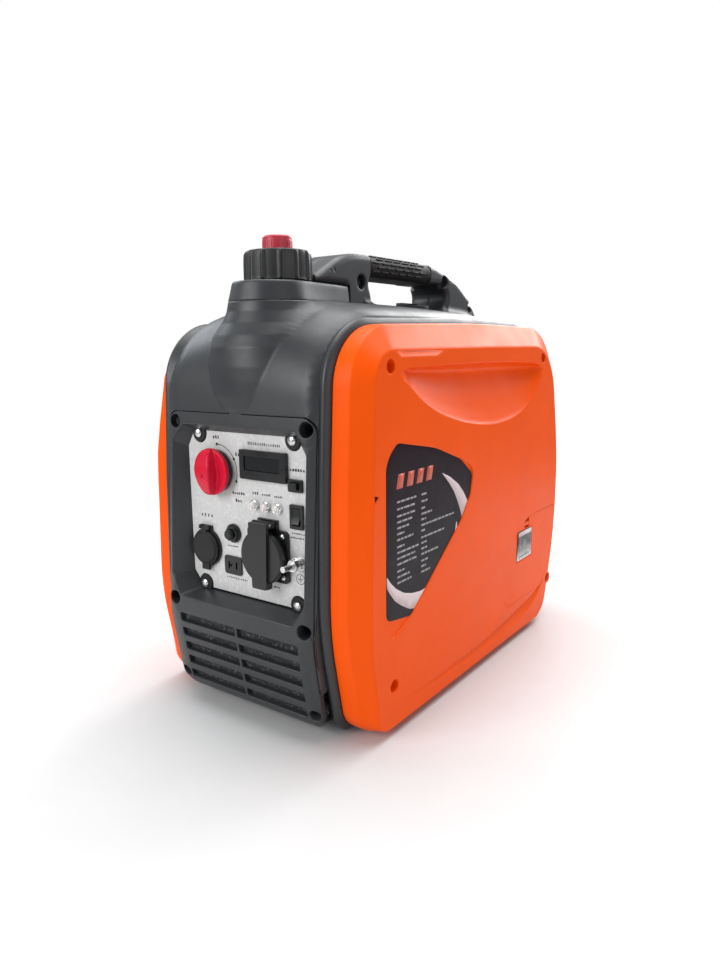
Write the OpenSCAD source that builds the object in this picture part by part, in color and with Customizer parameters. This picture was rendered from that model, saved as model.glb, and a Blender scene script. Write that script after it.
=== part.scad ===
// Portable inverter generator: a small engine and alternator in a suitcase-shaped housing.
// +X is the right side, -Y the control panel end, +Z up. The origin is on the ground, under the middle.
// Each module is one separate piece of the machine.

/* [Housing] */
// Half width of the black shells, between the rim strips
shell_hw = 86.4; // [86:0.1:86.6]
// Where the side covers start, from the middle
cover_x = 94; // [94:0.5:96]
// How far each side cover bulges outwards
cover_d = 32; // [30:0.5:34]
// Wall thickness of the moulded shells
wall = 3; // [2.5:0.1:3.5]
// Height of the rubber feet
foot_h = 12.3; // [12:0.1:12.6]

/* [Control panel] */
// Front face of the control plate
plate_y = -209; // [-210:0.5:-208]
// Thickness of the control plate
plate_t = 1.6; // [1:0.1:2]
// Radius of the engine control knob
knob_r = 20.5; // [19:0.5:22]
// Radius of the mains socket cover
ac_r = 23.5; // [20:0.5:24]

/* [Fuel cap and handle] */
// Radius of the fuel cap
cap_r = 30; // [28:0.5:31]
// How far the fuel cap is from the middle, towards the front
cap_y = -159; // [-160:0.5:-158]
// Half width of the carrying handle
handle_hw = 25; // [22:0.5:26]
// Height of the top of the carrying handle
handle_z = 414.5; // [412:0.5:417]

/* [Engine] */
// Height of the crankshaft
crank_z = 120; // [118:0.5:121]
// Radius of the rope groove on the starter pulley
pulley_r = 45; // [44:0.5:46]
// Radius of the starter rope
rope_r = 2; // [1.5:0.1:2.2]

/* [Hidden] */

$fn = 48;
gap = 0.3;
eps = 0.01;
charcoal = [0.17, 0.18, 0.2];
black = [0.09, 0.09, 0.1];
orange = [0.93, 0.34, 0.07];
silver = [0.75, 0.76, 0.77];
red = [0.85, 0.08, 0.16];

// ---- Outlines, as corners [y, z, radius] on the side view ----
shell_outline = [[-212, 12, 24], [-229, 95, 200], [-220, 262, 700], [-212, 370, 80],
    [0, 372, 3000], [206, 362, 90], [229, 150, 600], [206, 12, 30]];
cover_outline = [[-196, 5, 28], [-215, 100, 260], [-211, 215, 700], [-203, 346, 52],
    [0, 350, 2500], [194, 347, 72], [217, 150, 480], [182, 5, 42]];
face_outline = [[-190, 9, 16], [-202, 100, 300], [-197, 215, 700], [-192, 327, 26],
    [0, 327.5, 2500], [162, 327, 62], [202, 150, 360], [160, 9, 30]];
door_outline = [[75, 128, 5], [60, 99.5, 40], [47, 57, 9], [56, 46.6, 9], [150, 46.6, 12],
    [166, 66, 40], [184, 104, 40], [188, 139, 6], [112, 139, 30]];
decal_outline = [[-181, 83, 12], [-180.5, 240, 26], [-163, 253, 10], [-102, 242, 120], [-55, 226, 40],
    [-30, 214, 12], [-36, 188, 14], [-54, 167, 60], [-140, 102, 30]];
decal_plate_outline = [[-179, 114, 16], [-178.5, 238, 24], [-163, 251, 9], [-102, 240, 120],
    [-56, 224, 40], [-32, 212, 10], [-38, 189, 12], [-55, 169, 60], [-132, 109, 24], [-160, 104, 30]];
plate_outline = [[-71.5, 126, 3], [-71, 243, 3], [-62, 259, 3], [60, 259, 3], [69, 243, 3],
    [68, 126, 3], [59, 112, 3], [-60, 112, 3]];
recess_outline = [[-84, 122, 5], [-82, 250, 8], [-66, 264, 8], [66, 264, 8], [80, 250, 8],
    [82, 120, 5], [64, 102, 5], [-70, 102, 5]];
frame_holes = [[-76.2, 266.4], [76.2, 266.4], [-77.2, 103], [77.2, 103], [-78.4, 25], [78.4, 25]];
cover_holes = [[-172, 314], [138, 315], [-169, 46], [172, 49.6]];
handle_holes = [[-69, 390], [93, 400], [155, 373]];
plate_holes = [[-55.2, 255.7], [55.2, 255.7], [-56.2, 115.3], [56.2, 115.3]];

frame_hw = 84.4;
frame_top = 275.1;
front_split = -186;
rear_split = 190;
pan_top = 45;
knob_pos = [-33.9, 223.3];
lamp_x = [10.2, 23.7, 36.9];
usb_pos = [-51, 151];
breaker_pos = [-17, 168.4];
ac_pos = [25.5, 155.5];
ground_pos = [59.8, 153.6];
eco_pos = [57.6, 192.5];
ac_pivot = [ac_pos.x, 184];
usb_pivot = [usb_pos.x, 170.2];
starter_y = -113;
starter_z = crank_z + pulley_r;
lid_y = 52;
door_hinge = [124.5, 45.9];
tail_y = -plate_y + 25.9;
cover_end = cover_x + cover_d;

// ---- Helpers ----
function unit(v) = v / norm(v);

// The arc that rounds the corner b of the path a, b, c
function corner(a, b, c, r, n) =
    let (u = unit(a - b), v = unit(c - b), half = acos(u * v) / 2,
        mid = b + unit(u + v) * r / sin(half),
        from = b + u * r / tan(half), to = b + v * r / tan(half),
        a0 = atan2(from.y - mid.y, from.x - mid.x), a1 = atan2(to.y - mid.y, to.x - mid.x),
        turn = (a1 - a0 + 540) % 360 - 180)
    [for (i = [0:n]) mid + r * [cos(a0 + turn * i / n), sin(a0 + turn * i / n)]];

// A closed outline with each corner [x, y, radius] rounded
function rounded(pts, n = 5) =
    [for (i = [0:len(pts) - 1])
        let (m = len(pts), p = pts[(i + m - 1) % m], q = pts[i], s = pts[(i + 1) % m])
        each corner([p.x, p.y], [q.x, q.y], [s.x, s.y], q.z, n)];

// Twice the signed area inside a list of corners: negative when they run clockwise
function winding(pts) =
    [for (i = [0:len(pts) - 1]) let (q = pts[i], s = pts[(i + 1) % len(pts)]) q.x * s.y - s.x * q.y]
    * [for (p = pts) 1];

// The same corners with every side moved outwards by d
function grow(pts, d) =
    let (m = len(pts), side = sign(winding(pts)))
    [for (i = [0:m - 1])
        let (p = pts[(i + m - 1) % m], q = pts[i], s = pts[(i + 1) % m],
            u = unit([q.x - p.x, q.y - p.y]), v = unit([s.x - q.x, s.y - q.y]),
            a = side * [u.y, -u.x], b = side * [v.y, -v.x], move = d * (a + b) / (1 + a * b))
        [q.x + move.x, q.y + move.y, max(q.z + d, 1)]];

// Extrudes a side-view drawing [y, z] along X, from x0 to x1
module across(x0, x1) {
    translate([x0, 0, 0]) rotate([90, 0, 90]) linear_extrude(x1 - x0) children();
}

// Extrudes a front-view drawing [x, z] along Y, from y0 to y1
module along(y0, y1) {
    translate([0, y1, 0]) rotate([90, 0, 0]) linear_extrude(y1 - y0) children();
}

// Puts a piece on the control plate: its +Z points out of the plate, its +Y up
module on_plate(p) {
    translate([p.x, plate_y, p.y]) rotate([90, 0, 0]) children();
}

module box(lo, hi) {
    translate(lo) cube(hi - lo);
}

module rounded_box(w, h, d, r) {
    linear_extrude(d) polygon(rounded([[-w / 2, -h / 2, r], [w / 2, -h / 2, r],
        [w / 2, h / 2, r], [-w / 2, h / 2, r]], 4));
}

module both_sides() {
    children();
    mirror([1, 0, 0]) children();
}

// The outer form of the black housing, d inside its outer surface
module housing_form(d, hw) {
    crown_r = 280;
    intersection() {
        across(-hw, hw) polygon(rounded(grow(shell_outline, -d), 7));
        along(-240, 240) intersection() {
            translate([0, 371 - crown_r - d]) circle(crown_r, $fn = 180);
            polygon(rounded([[-hw, 11, 14], [hw, 11, 14], [hw, 400, 10], [-hw, 400, 10]], 5));
        }
        translate([0, 0, -10]) linear_extrude(420) polygon(rounded([[-hw, -230 + d, 9],
            [hw, -230 + d, 9], [hw, 230 - d, 9], [-hw, 230 - d, 9]], 5));
    }
}

// The black housing as a hoop: front, top, rear and floor, with a stiffening rim at each side
module hoop() {
    difference() {
        housing_form(0, shell_hw);
        across(-shell_hw - 1, shell_hw + 1) polygon(rounded(grow(shell_outline, -17), 7));
        intersection() {
            across(-shell_hw + 4, shell_hw - 4) polygon(rounded(grow(shell_outline, -wall), 7));
            translate([0, 0, -4]) housing_form(0, shell_hw - 3);
            along(-240, 240) translate([0, 371 - 283]) circle(280, $fn = 180);
        }
    }
}

module front_zone(d) {
    box([-frame_hw - d, -240, 0], [frame_hw + d, front_split + d, frame_top + d]);
}

module rear_zone(d) {
    box([-frame_hw - d, rear_split - d, 0], [frame_hw + d, 240, frame_top + d]);
}

// ---- Housing ----
module base_pan() {
    color(black) difference() {
        union() {
            intersection() {
                hoop();
                box([-100, front_split + gap, 0], [100, rear_split - gap, pan_top]);
            }
            box([-82, front_split + 1, 15], [82, -178, 22]);
            for (x = [-44, 44], y = [-14, 50]) translate([x, y, 14.5]) cylinder(r = 17, h = 7.5);
            for (x = [-60, -20, 20, 60]) box([x - 1.5, -170, 14], [x + 1.5, 170, 20]);
            for (x = [-68, 68], y = [-150, 150]) translate([x, y, 12.05]) cylinder(r = 15, h = 8);
        }
        for (y = [70:14:140]) box([-34, y, 5], [34, y + 6, 30]);
        for (x = [-44, 44], y = [-14, 50]) translate([x, y, 5]) cylinder(r = 4.2, h = 30);
    }
}

module feet() {
    color([0.13, 0.13, 0.13]) for (x = [-68, 68], y = [-150, 150]) translate([x, y, 0])
        rotate_extrude() polygon([[3, 2], [3.5, 0], [12, 0], [14, 2], [14, foot_h - 0.5], [0, foot_h - 0.5],
            [0, 2]]);
}

module louvres() {
    for (row = [0:4], side = [-1, 1])
        translate([side * 36.2, 0, 25.5 + row * 15]) along(-250, -180)
            polygon(rounded([[-34.8, -4.2, 1.5], [34.8, -4.2, 1.5], [34.8, 4.2, 1.5], [-34.8, 4.2, 1.5]], 3));
}

module front_frame() {
    color(black) difference() {
        union() {
            intersection() {
                hoop();
                front_zone(0);
            }
            // Walls of the panel recess
            intersection() {
                along(-232, plate_y + 8) polygon(rounded([[-frame_hw, 94, 8], [-frame_hw, 270, 8],
                    [frame_hw, 270, 8], [frame_hw, 94, 8]], 3));
                housing_form(0.5, shell_hw);
            }
            for (p = frame_holes) intersection() {
                along(-232, -196) translate(p) circle(8);
                housing_form(0.5, shell_hw);
                front_zone(0);
            }
        }
        // The recess narrows towards the plate
        hull() {
            along(-232, -231) polygon(rounded(recess_outline, 3));
            along(plate_y - 0.2, plate_y) polygon(rounded(plate_outline, 3));
        }
        along(plate_y - 1, plate_y + plate_t) polygon(rounded(plate_outline, 3));
        along(plate_y, plate_y + 20) polygon(rounded([[-67, 132, 4], [-67, 238, 4], [-58, 242, 4],
            [-46, 252, 4], [46, 252, 4], [65, 238, 4], [65, 132, 4], [46, 118, 4], [-46, 118, 4]], 3));
        for (p = plate_holes) {
            along(plate_y, plate_y + 20) translate(p) circle(1.9);
            along(-240, plate_y + plate_t + 0.1) translate(p) circle(8.9);
        }
        for (p = frame_holes) {
            along(-240, -204) translate(p) circle(p.y < 60 ? 5.2 : 6.3);
            along(-240, -180) translate(p) circle(2.6);
        }
        louvres();
    }
}

module top_shell() {
    color(charcoal) difference() {
        union() {
            difference() {
                hoop();
                front_zone(gap);
                rear_zone(gap);
                box([-100, front_split, 0], [100, rear_split, pan_top + gap]);
            }
            // Sleeve below the filler collar
            intersection() {
                translate([0, cap_y, 344.5]) cylinder(r = 31, h = 29.5);
                housing_form(0.5, shell_hw);
            }
            // Guide tube of the spark plug access
            translate([0, lid_y, 345]) cylinder(r = 26.5, h = 22);
        }
        translate([0, cap_y, 340]) cylinder(r = 27.5, h = 60);
        translate([0, lid_y, 340]) cylinder(r = 22.2, h = 60);
        translate([0, lid_y, 366]) cylinder(r = 24.6, h = 20);
    }
}

module rear_frame() {
    color(black) difference() {
        union() {
            intersection() {
                hoop();
                rear_zone(0);
            }
            for (p = frame_holes) intersection() {
                along(190, 232) translate([p.x, p.y + (p.y < 60 ? 12 : 0)]) circle(8);
                housing_form(0.5, shell_hw);
                rear_zone(0);
            }
        }
        // Exhaust louvres and tailpipe opening
        for (z = [70:14:168]) along(180, 240)
            polygon(rounded([[-62, z, 2.5], [62, z, 2.5], [62, z + 7, 2.5], [-62, z + 7, 2.5]], 3));
        along(180, 240) translate([36, 214]) circle(21);
        for (p = frame_holes) {
            along(205, 240) translate([p.x, p.y + (p.y < 60 ? 12 : 0)]) circle(5.5);
            along(180, 240) translate([p.x, p.y + (p.y < 60 ? 12 : 0)]) circle(2.6);
        }
    }
}

module rim_strips() {
    color(charcoal) both_sides() difference() {
        across(shell_hw + gap, cover_x - gap) polygon(rounded(grow(cover_outline, 6), 7));
        across(shell_hw, cover_x) polygon(rounded(grow(cover_outline, -8), 7));
        box([0, -300, -20], [100, 300, 5]);
    }
}

// The finger pocket under the top edge of a cover: deepest under its lip, running out below
module finger_pocket(d) {
    hull() {
        across(cover_end - 19 - d, cover_end - 18.9 - d)
            polygon(rounded([[-120, 308 + d, 8], [112, 308 + d, 8], [60, 290 - d, 30], [-50, 290 - d, 30]], 4));
        across(cover_end + 0.1, cover_end + 1) polygon(rounded([[-158, 309 + d, 8], [-60, 314 + d, 60],
            [60, 314 + d, 60], [134, 312 + d, 8], [142, 294, 12], [78, 256 - d, 60], [-6, 248 - d, 120],
            [-74, 262 - d, 80], [-136, 288 - d, 30]], 4));
    }
}

module cover_form(d) {
    hull() {
        across(cover_x + 16, cover_x + 17) polygon(rounded(grow(cover_outline, -d), 6));
        across(cover_end - 0.5 - d, cover_end - d) polygon(rounded(grow(face_outline, -d), 6));
    }
    across(cover_x - (d > 0 ? 1 : 0), cover_x + 16.5) polygon(rounded(grow(cover_outline, -d), 6));
}

module side_cover() {
    difference() {
        cover_form(0);
        difference() {
            cover_form(wall);
            finger_pocket(wall);
            for (p = cover_holes) across(cover_x, cover_end) translate(p) circle(9);
        }
        finger_pocket(0);
        for (p = cover_holes) {
            across(cover_x + 8, cover_end + 1) translate(p) circle(5.8);
            across(cover_x - 1, cover_end + 1) translate(p) circle(2.7);
        }
    }
}

module right_cover() {
    color(orange) difference() {
        union() {
            side_cover();
            across(cover_end - 5.2, cover_end - 2.5) polygon(rounded(decal_outline, 3));
            // Lip behind the service door
            across(cover_end - 6.2, cover_end - 2.5) polygon(rounded([[62, 140, 6], [36, 92, 8], [36, 42, 8],
                [154, 42, 8], [190, 104, 8], [194, 146, 6]], 3));
        }
        across(cover_end - 1.6, cover_end + 1) polygon(rounded(decal_outline, 4));
        across(cover_end - 4.1, cover_end + 1) polygon(rounded(grow(door_outline, gap), 4));
        across(cover_end - 4.1, cover_end + 1) box2([49, 43.9], [157, 47.8]);
        across(cover_end - 4.1, cover_end + 1) polygon([[53.6, 47.7], [50.8, 51.2], [155.1, 51.2], [152.3, 47.7]]);
        across(cover_end - 8, cover_end + 1) polygon(rounded([[81, 122, 4], [66, 92, 8], [58, 56, 5],
            [62, 52, 5], [148, 52, 5], [176, 100, 20], [180, 131, 4]], 3));
        // Finger notch above the door catch
        across(cover_end - 4.1, cover_end + 1) box2([100, 142], [108, 153]);
    }
}

module box2(lo, hi) {
    translate(lo) square(hi - lo);
}

module left_cover() {
    color(orange) difference() {
        union() {
            mirror([1, 0, 0]) side_cover();
            mirror([1, 0, 0]) across(cover_end - 27, cover_end - 1) starter_pocket(3);
        }
        mirror([1, 0, 0]) across(cover_end - 24, cover_end + 1) starter_pocket(0);
        mirror([1, 0, 0]) across(cover_end - 30, cover_end + 1)
            translate([starter_y, starter_z]) circle(rope_r + 1.5);
    }
}

// Outline of the pocket that holds the starter grip
module starter_pocket(d) {
    polygon(rounded([[starter_y - 48 - d, starter_z - 20 - d, 12], [starter_y + 48 + d, starter_z - 20 - d, 12],
        [starter_y + 48 + d, starter_z + 20 + d, 12], [starter_y - 48 - d, starter_z + 20 + d, 12]], 4));
}

module neck_collar() {
    color(charcoal) difference() {
        union() {
            // Collar round the filler neck, running back to the handle
            hull() {
                translate([0, 0, 372.4]) linear_extrude(1) collar_outline(0);
                translate([0, 0, 384]) linear_extrude(1) collar_outline(3.2);
            }
            hull() {
                translate([0, 0, 371]) linear_extrude(2) collar_outline(0);
                translate([0, cap_y - 6, 352]) scale([1.1, 0.95, 1]) cylinder(r = 40, h = 1);
            }
            // Funnel that runs down the front of the housing
            hull() {
                translate([0, cap_y - 11, 352]) cylinder(r = 35, h = 19, $fn = 32);
                translate([0, -200, 322]) scale([1, 0.66, 1.3]) sphere(r = 28, $fn = 32);
                translate([0, -212, 298]) scale([1, 0.6, 1]) sphere(r = 17, $fn = 32);
            }
        }
        difference() {
            housing_form(-gap, shell_hw + 4);
            translate([0, cap_y, 346]) cylinder(r = 27.2, h = 60);
        }
        translate([0, cap_y, 300]) cylinder(r = 24, h = 120);
    }
}

module collar_outline(d) {
    translate([0, cap_y - 11]) circle(36 - d);
    polygon(rounded([[-36 + d, -170, 4], [36 - d, -170, 4], [25 - d, -88, 3], [-25 + d, -88, 3]], 3));
}

// ---- Handle ----
module handle_profile() {
    difference() {
        polygon(rounded([[-137, 385.6, 2], [-137, 391.5, 6], [-92, 414.2, 80], [-52, handle_z, 200],
            [70, handle_z, 60], [120, 403, 60], [158, 381.5, 60], [184, 352, 6], [150, 352, 6],
            [90, 360, 6], [106, 391, 12], [-57, 391, 7], [-64, 385.6, 3]], 5));
        // Seat of the rubber grip
        box2([-54, handle_z - 3], [61, 430]);
        box2([-54, 380], [61, 394]);
    }
}

module handle_half(side) {
    color(charcoal) difference() {
        intersection() {
            across(side > 0 ? 0.1 : -handle_hw, side > 0 ? handle_hw : -0.1) union() {
                handle_profile();
                polygon([[-80, 360], [-87, 386], [-54.5, 386], [-47, 375], [-30, 364]]);
            }
            union() {
                along(-140, -54) rounded_section(handle_hw, 340, handle_z, 7);
                along(-54.1, 61.1) rounded_section(handle_hw - 3.2, 394, handle_z - 3, 7);
                along(61, 190) rounded_section(handle_hw, 330, handle_z, 7);
            }
        }
        housing_form(-gap, shell_hw);
        neck_clear();
        translate([0, cap_y, 385.3]) cylinder(r = cap_r + 1, h = 40);
        for (p = handle_holes) {
            across(side > 0 ? 14 : -30, side > 0 ? 30 : -14) translate(p) circle(6.6);
            across(side > 0 ? 4 : -16, side > 0 ? 16 : -4) translate(p) circle(2.2);
        }
    }
}

module neck_clear() {
    translate([0, 0, 340]) linear_extrude(45 + gap) {
        translate([0, cap_y - 11]) circle(36.3);
        polygon([[-50, -190], [50, -190], [30, -87.6], [-30, -87.6]]);
    }
}

module rounded_section(hw, z0, z1, r) {
    polygon(rounded([[-hw, z0, r], [hw, z0, r], [hw, z1, r], [-hw, z1, r]], 5));
}

module handle_left() {
    handle_half(-1);
}

module handle_right() {
    handle_half(1);
}

module handle_grip() {
    color(black) difference() {
        along(-53.6, 60.7) rounded_section(handle_hw + 0.6, 391.2, handle_z - 0.2, 9);
        along(-60, 70) rounded_section(handle_hw - 3, 393.8, handle_z - 2.8, 7);
    }
}

// ---- Fuel cap ----
module filler_gasket() {
    color(black) translate([0, cap_y, 385]) difference() {
        cylinder(r = 27.5, h = 1);
        translate([0, 0, -1]) cylinder(r = 23.5, h = 3);
    }
}

module fuel_cap_plug() {
    color([0.2, 0.2, 0.2]) translate([0, cap_y, 0]) difference() {
        union() {
            translate([0, 0, 372]) cylinder(r = 19, h = 26);
            translate([0, 0, 391]) cylinder(r = 25, h = 3);
        }
        translate([0, 0, 371]) cylinder(r = 15, h = 20);
    }
}

module fuel_cap() {
    flutes = 16;
    color(black) translate([0, cap_y, 0]) difference() {
        union() {
            translate([0, 0, 386.4]) cylinder(r = cap_r - 1.4, h = 22);
            translate([0, 0, 408.3]) rotate_extrude() polygon(concat([[0, 0], [cap_r - 1.4, 0]],
                [for (a = [0:15:90]) [cap_r - 4.4 + 3 * cos(a), 3 * sin(a)]], [[0, 3]]));
            for (i = [0:flutes - 1]) rotate(i * 360 / flutes) translate([cap_r - 4, 0, 386.4])
                cylinder(r = 4, h = 22, $fn = 24);
        }
        translate([0, 0, 386]) cylinder(r = 25.4, h = 12.2);
        translate([0, 0, 397]) cylinder(r = 6.05, h = 20);
    }
}

module fuel_cap_vent() {
    color(red) translate([0, cap_y, 0]) {
        translate([0, 0, 400]) cylinder(r = 6, h = 12);
        translate([0, 0, 411.6]) cylinder(r = 13.2, h = 10);
        translate([0, 0, 421.5]) rotate_extrude() polygon(concat([[0, 0], [13.2, 0]],
            [for (a = [0:15:90]) [10.4 + 2.8 * cos(a), 2.8 * sin(a)]], [[0, 2.8]]));
    }
}

// ---- Control panel ----
module control_plate() {
    color([0.8, 0.8, 0.79]) difference() {
        along(plate_y, plate_y + plate_t - 0.1) polygon(rounded(grow(plate_outline, -gap), 3));
        for (p = plate_holes) along(-240, -200) translate(p) circle(9);
        on_plate(knob_pos) translate([0, 0, -5]) cylinder(r = 5.3, h = 10);
        on_plate([22.7, 232.2]) translate([-24, -10, -5]) cube([48, 20, 10]);
        on_plate([57.3, 218.7]) translate([-5.5, -4, -5]) cube([11, 8, 10]);
        for (x = lamp_x) on_plate([x, 197.4]) translate([0, 0, -5]) cylinder(r = 2.6, h = 10);
        on_plate(eco_pos) translate([-5.7, -8.5, -5]) cube([11.4, 17, 10]);
        on_plate(usb_pos) translate([0, 0, -5]) cylinder(r = 14.6, h = 10);
        on_plate(breaker_pos) translate([0, 0, -5]) cylinder(r = 6.3, h = 10);
        on_plate([-19, 138.5]) translate([-8.8, -6.8, -5]) cube([17.6, 13.6, 10]);
        on_plate(ac_pos) translate([0, 0, -5]) cylinder(r = 21.3, h = 10);
        on_plate(ground_pos) translate([0, 0, -5]) cylinder(r = 4.3, h = 10);
    }
}

module screw(d, l, head_r, head_h) {
    translate([0, 0, -l]) cylinder(d = d, h = l + 0.1);
    intersection() {
        cylinder(r = head_r, h = head_h);
        translate([0, 0, head_h - head_r * 1.5]) sphere(r = head_r * 1.5);
    }
}

module panel_screws() {
    color(silver) {
        for (p = plate_holes) on_plate(p) translate([0, 0, 1.5]) screw(3.6, 12, 4.2, 2.6);
        for (x = [16.8, -18], y = [18.5, -17.3])
            on_plate(ac_pos + [x, y]) translate([0, 0, 3.1]) screw(2.6, 3, 2.6, 1.3);
    }
}

module plate_grommets() {
    color([0.1, 0.1, 0.1]) for (p = plate_holes) on_plate(p) difference() {
        union() {
            translate([0, 0, -plate_t]) cylinder(r = 8.5, h = plate_t);
            cylinder(r1 = 8.5, r2 = 7.4, h = 1.4);
        }
        translate([0, 0, -3]) cylinder(r = 1.9, h = 8);
    }
}

module control_knob() {
    color(red) on_plate(knob_pos) {
        translate([0, 0, -10]) cylinder(r = 4, h = 12);
        translate([0, 0, 0.6]) cylinder(r = knob_r - 1.5, h = 5.5);
        translate([0, 0, 6]) rotate_extrude() polygon([[0, 0], [knob_r, 0], [knob_r, 2.4], [knob_r - 1.6, 4],
            [0, 4]]);
        // Finger bar with an arched top
        intersection() {
            translate([0, 0, 9.9]) linear_extrude(12) polygon(rounded([[-4, -20.3, 3],
                [4, -20.3, 3], [9, 0, 60], [4, 20.3, 3], [-4, 20.3, 3], [-9, 0, 60]], 5));
            translate([0, 0, -11.8]) rotate([0, 90, 0]) cylinder(r = 31.8, h = 60, center = true, $fn = 96);
        }
    }
}

module meter_bezel() {
    color(black) on_plate([22.7, 232.2]) difference() {
        union() {
            rounded_box(52.6, 25.4, 4, 1.2);
            translate([-23, -9.5, -18]) cube([46, 19, 18.1]);
        }
        translate([-20.8, -5, 1.6]) cube([39.8, 12.4, 5]);
    }
}

module meter_window() {
    color([0.05, 0.05, 0.06]) on_plate([22.7, 232.2]) translate([-20.5, -4.7, 1.9])
        cube([39.2, 11.8, 1]);
}

module reset_switch_body() {
    color(black) on_plate([57.3, 218.7]) difference() {
        union() {
            rounded_box(14.6, 10.6, 3, 1);
            translate([-5, -3.5, -14]) cube([10, 7, 14.1]);
        }
        translate([-4.6, -3.1, -6]) cube([9.2, 6.2, 12]);
    }
}

module reset_button() {
    color([0.07, 0.07, 0.07]) on_plate([57.3, 218.7]) translate([0, 0, -2.5]) {
        rounded_box(8.6, 5.6, 8.5, 0.8);
    }
}

module lamp_bezels() {
    color(silver) for (x = lamp_x) on_plate([x, 197.4]) difference() {
        union() {
            cylinder(r = 4.8, h = 2.8, $fn = 6);
            translate([0, 0, 2.7]) cylinder(r = 3.6, h = 2.3);
            translate([0, 0, -9]) cylinder(r = 2.5, h = 9.1);
        }
        translate([0, 0, -10]) cylinder(r = 2, h = 14);
        translate([0, 0, 3.6]) cylinder(r = 3, h = 3);
    }
}

module lamp_lenses() {
    color([0.9, 0.75, 0.75, 0.6]) for (x = lamp_x) on_plate([x, 197.4]) {
        translate([0, 0, -8]) cylinder(r = 1.95, h = 10.5);
        translate([0, 0, 2.4]) cylinder(r = 1.95, h = 1.4);
        translate([0, 0, 3.7]) cylinder(r = 2.9, h = 1);
        translate([0, 0, 4.6]) scale([1, 1, 0.45]) intersection() {
            cylinder(r = 2.9, h = 3);
            sphere(r = 2.9);
        }
    }
}

module eco_switch_body() {
    color(black) on_plate(eco_pos) difference() {
        union() {
            rounded_box(14, 20.6, 2.4, 1);
            translate([-5.4, -8.2, -16]) cube([10.8, 16.4, 16.1]);
        }
        translate([-4.5, -7.4, -9]) cube([9, 14.8, 14]);
        rotate([0, 90, 0]) cylinder(r = 1.25, h = 10.2, center = true);
    }
}

module eco_rocker() {
    color([0.06, 0.06, 0.06]) on_plate(eco_pos) rotate([-10, 0, 0]) {
        rotate([90, 0, 90]) translate([0, 0, -4.1]) linear_extrude(8.2)
            polygon([[-6.4, -2], [-6.4, 3.4], [0, 2.2], [6.4, 3.4], [6.4, -2], [3, -5], [-3, -5]]);
        rotate([0, 90, 0]) cylinder(r = 1.2, h = 9.8, center = true);
    }
}

module usb_socket() {
    color(black) on_plate(usb_pos) difference() {
        union() {
            cylinder(r = 17.5, h = 2.2);
            translate([0, 0, -24]) cylinder(r = 14.2, h = 24.1);
            translate([-7, 16, 0]) cube([14, 4.6, 2.2]);
            for (x = [-5.6, 3.6]) translate([x, 17.6, 2]) cube([2, 3.6, 4]);
            on_hinge(usb_pivot, usb_pos, 4) cylinder(r = 0.85, h = 11.2, center = true);
        }
        translate([0, 0, -15]) cylinder(r = 11.6, h = 24);
        for (y = [-4.4, 4.4]) translate([-6.4, y - 1.6, -18]) cube([12.8, 3.2, 4]);
    }
}

// A hinge axis across the plate, height h in front of it, for a lid drawn around p
module on_hinge(pivot, p, h) {
    translate([0, pivot.y - p.y, h]) rotate([0, 90, 0]) children();
}

module usb_cap() {
    color([0.12, 0.12, 0.13]) on_plate(usb_pos) {
        difference() {
            union() {
                translate([0, 0, 2.5]) cylinder(r = 16, h = 2.2);
                translate([0, 0, 4.6]) cylinder(r1 = 15.2, r2 = 13.4, h = 1.6);
                translate([-3.2, 14, 2.5]) cube([6.4, 6.1, 2.9]);
                translate([-4.5, -20.5, 2.5]) cube([9, 6, 2.6]);
                translate([0, 0, -2.4]) cylinder(r = 10.9, h = 5);
            }
            on_hinge(usb_pivot, usb_pos, 4) cylinder(r = 0.92, h = 30, center = true);
            translate([0, 0, -3]) cylinder(r = 9.4, h = 5);
        }
    }
}

module breaker_body() {
    color(black) on_plate(breaker_pos) difference() {
        union() {
            cylinder(r = 8.5, h = 2);
            translate([0, 0, 1.9]) cylinder(r = 7.6, h = 2.6, $fn = 6);
            translate([0, 0, -22]) cylinder(r = 6, h = 22.1);
        }
        translate([0, 0, -8]) cylinder(r = 4.6, h = 14);
    }
}

module breaker_button() {
    color([0.16, 0.16, 0.17]) on_plate(breaker_pos) translate([0, 0, -3]) {
        cylinder(r = 4.3, h = 11.2);
        translate([0, 0, 11.1]) cylinder(r1 = 4.3, r2 = 3.4, h = 1);
    }
}

module dc_socket() {
    color(black) on_plate([-19, 138.5]) difference() {
        union() {
            rounded_box(21, 17, 1.6, 2.5);
            translate([-8.5, -6.5, -16]) cube([17, 13, 16.1]);
        }
        translate([-5.6, -3.2, -9]) cube([1.6, 6.4, 12]);
        translate([-5.6, -0.8, -9]) cube([4.4, 1.6, 12]);
        translate([3.6, -3.2, -9]) cube([1.6, 6.4, 12]);
    }
}

module ac_socket() {
    color(black) on_plate(ac_pos) difference() {
        union() {
            translate([-0.5, 0.35, 0]) rounded_box(46, 45.3, 3, 4);
            cylinder(r = 20.9, h = 8);
            translate([-11, 20, 0]) cube([22, 11.5, 3]);
            translate([0, 0, -21]) cylinder(r = 21, h = 21.1);
            for (x = [-9.5, 6]) {
                translate([x, 25.6, 0.5]) cube([3.5, 4.4, 9]);
                translate([x, 0, 0]) rotate([90, 0, 90]) translate([28.5, 9.5]) cylinder(r = 2.9, h = 3.5);
            }
        }
        translate([0, 0, -9]) cylinder(r = 19.5, h = 20);
        for (x = [-9.5, 9.5]) translate([x, 0, -19]) cylinder(r = 2.5, h = 20);
        on_hinge(ac_pivot, ac_pos, 9.5) cylinder(r = 1.2, h = 30, center = true);
        for (p = [[16.8, 18.5], [16.8, -17.3], [-18, 18.5], [-18, -17.3]])
            translate([p.x, p.y, -1]) cylinder(r = 1.4, h = 6);
    }
}

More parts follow.
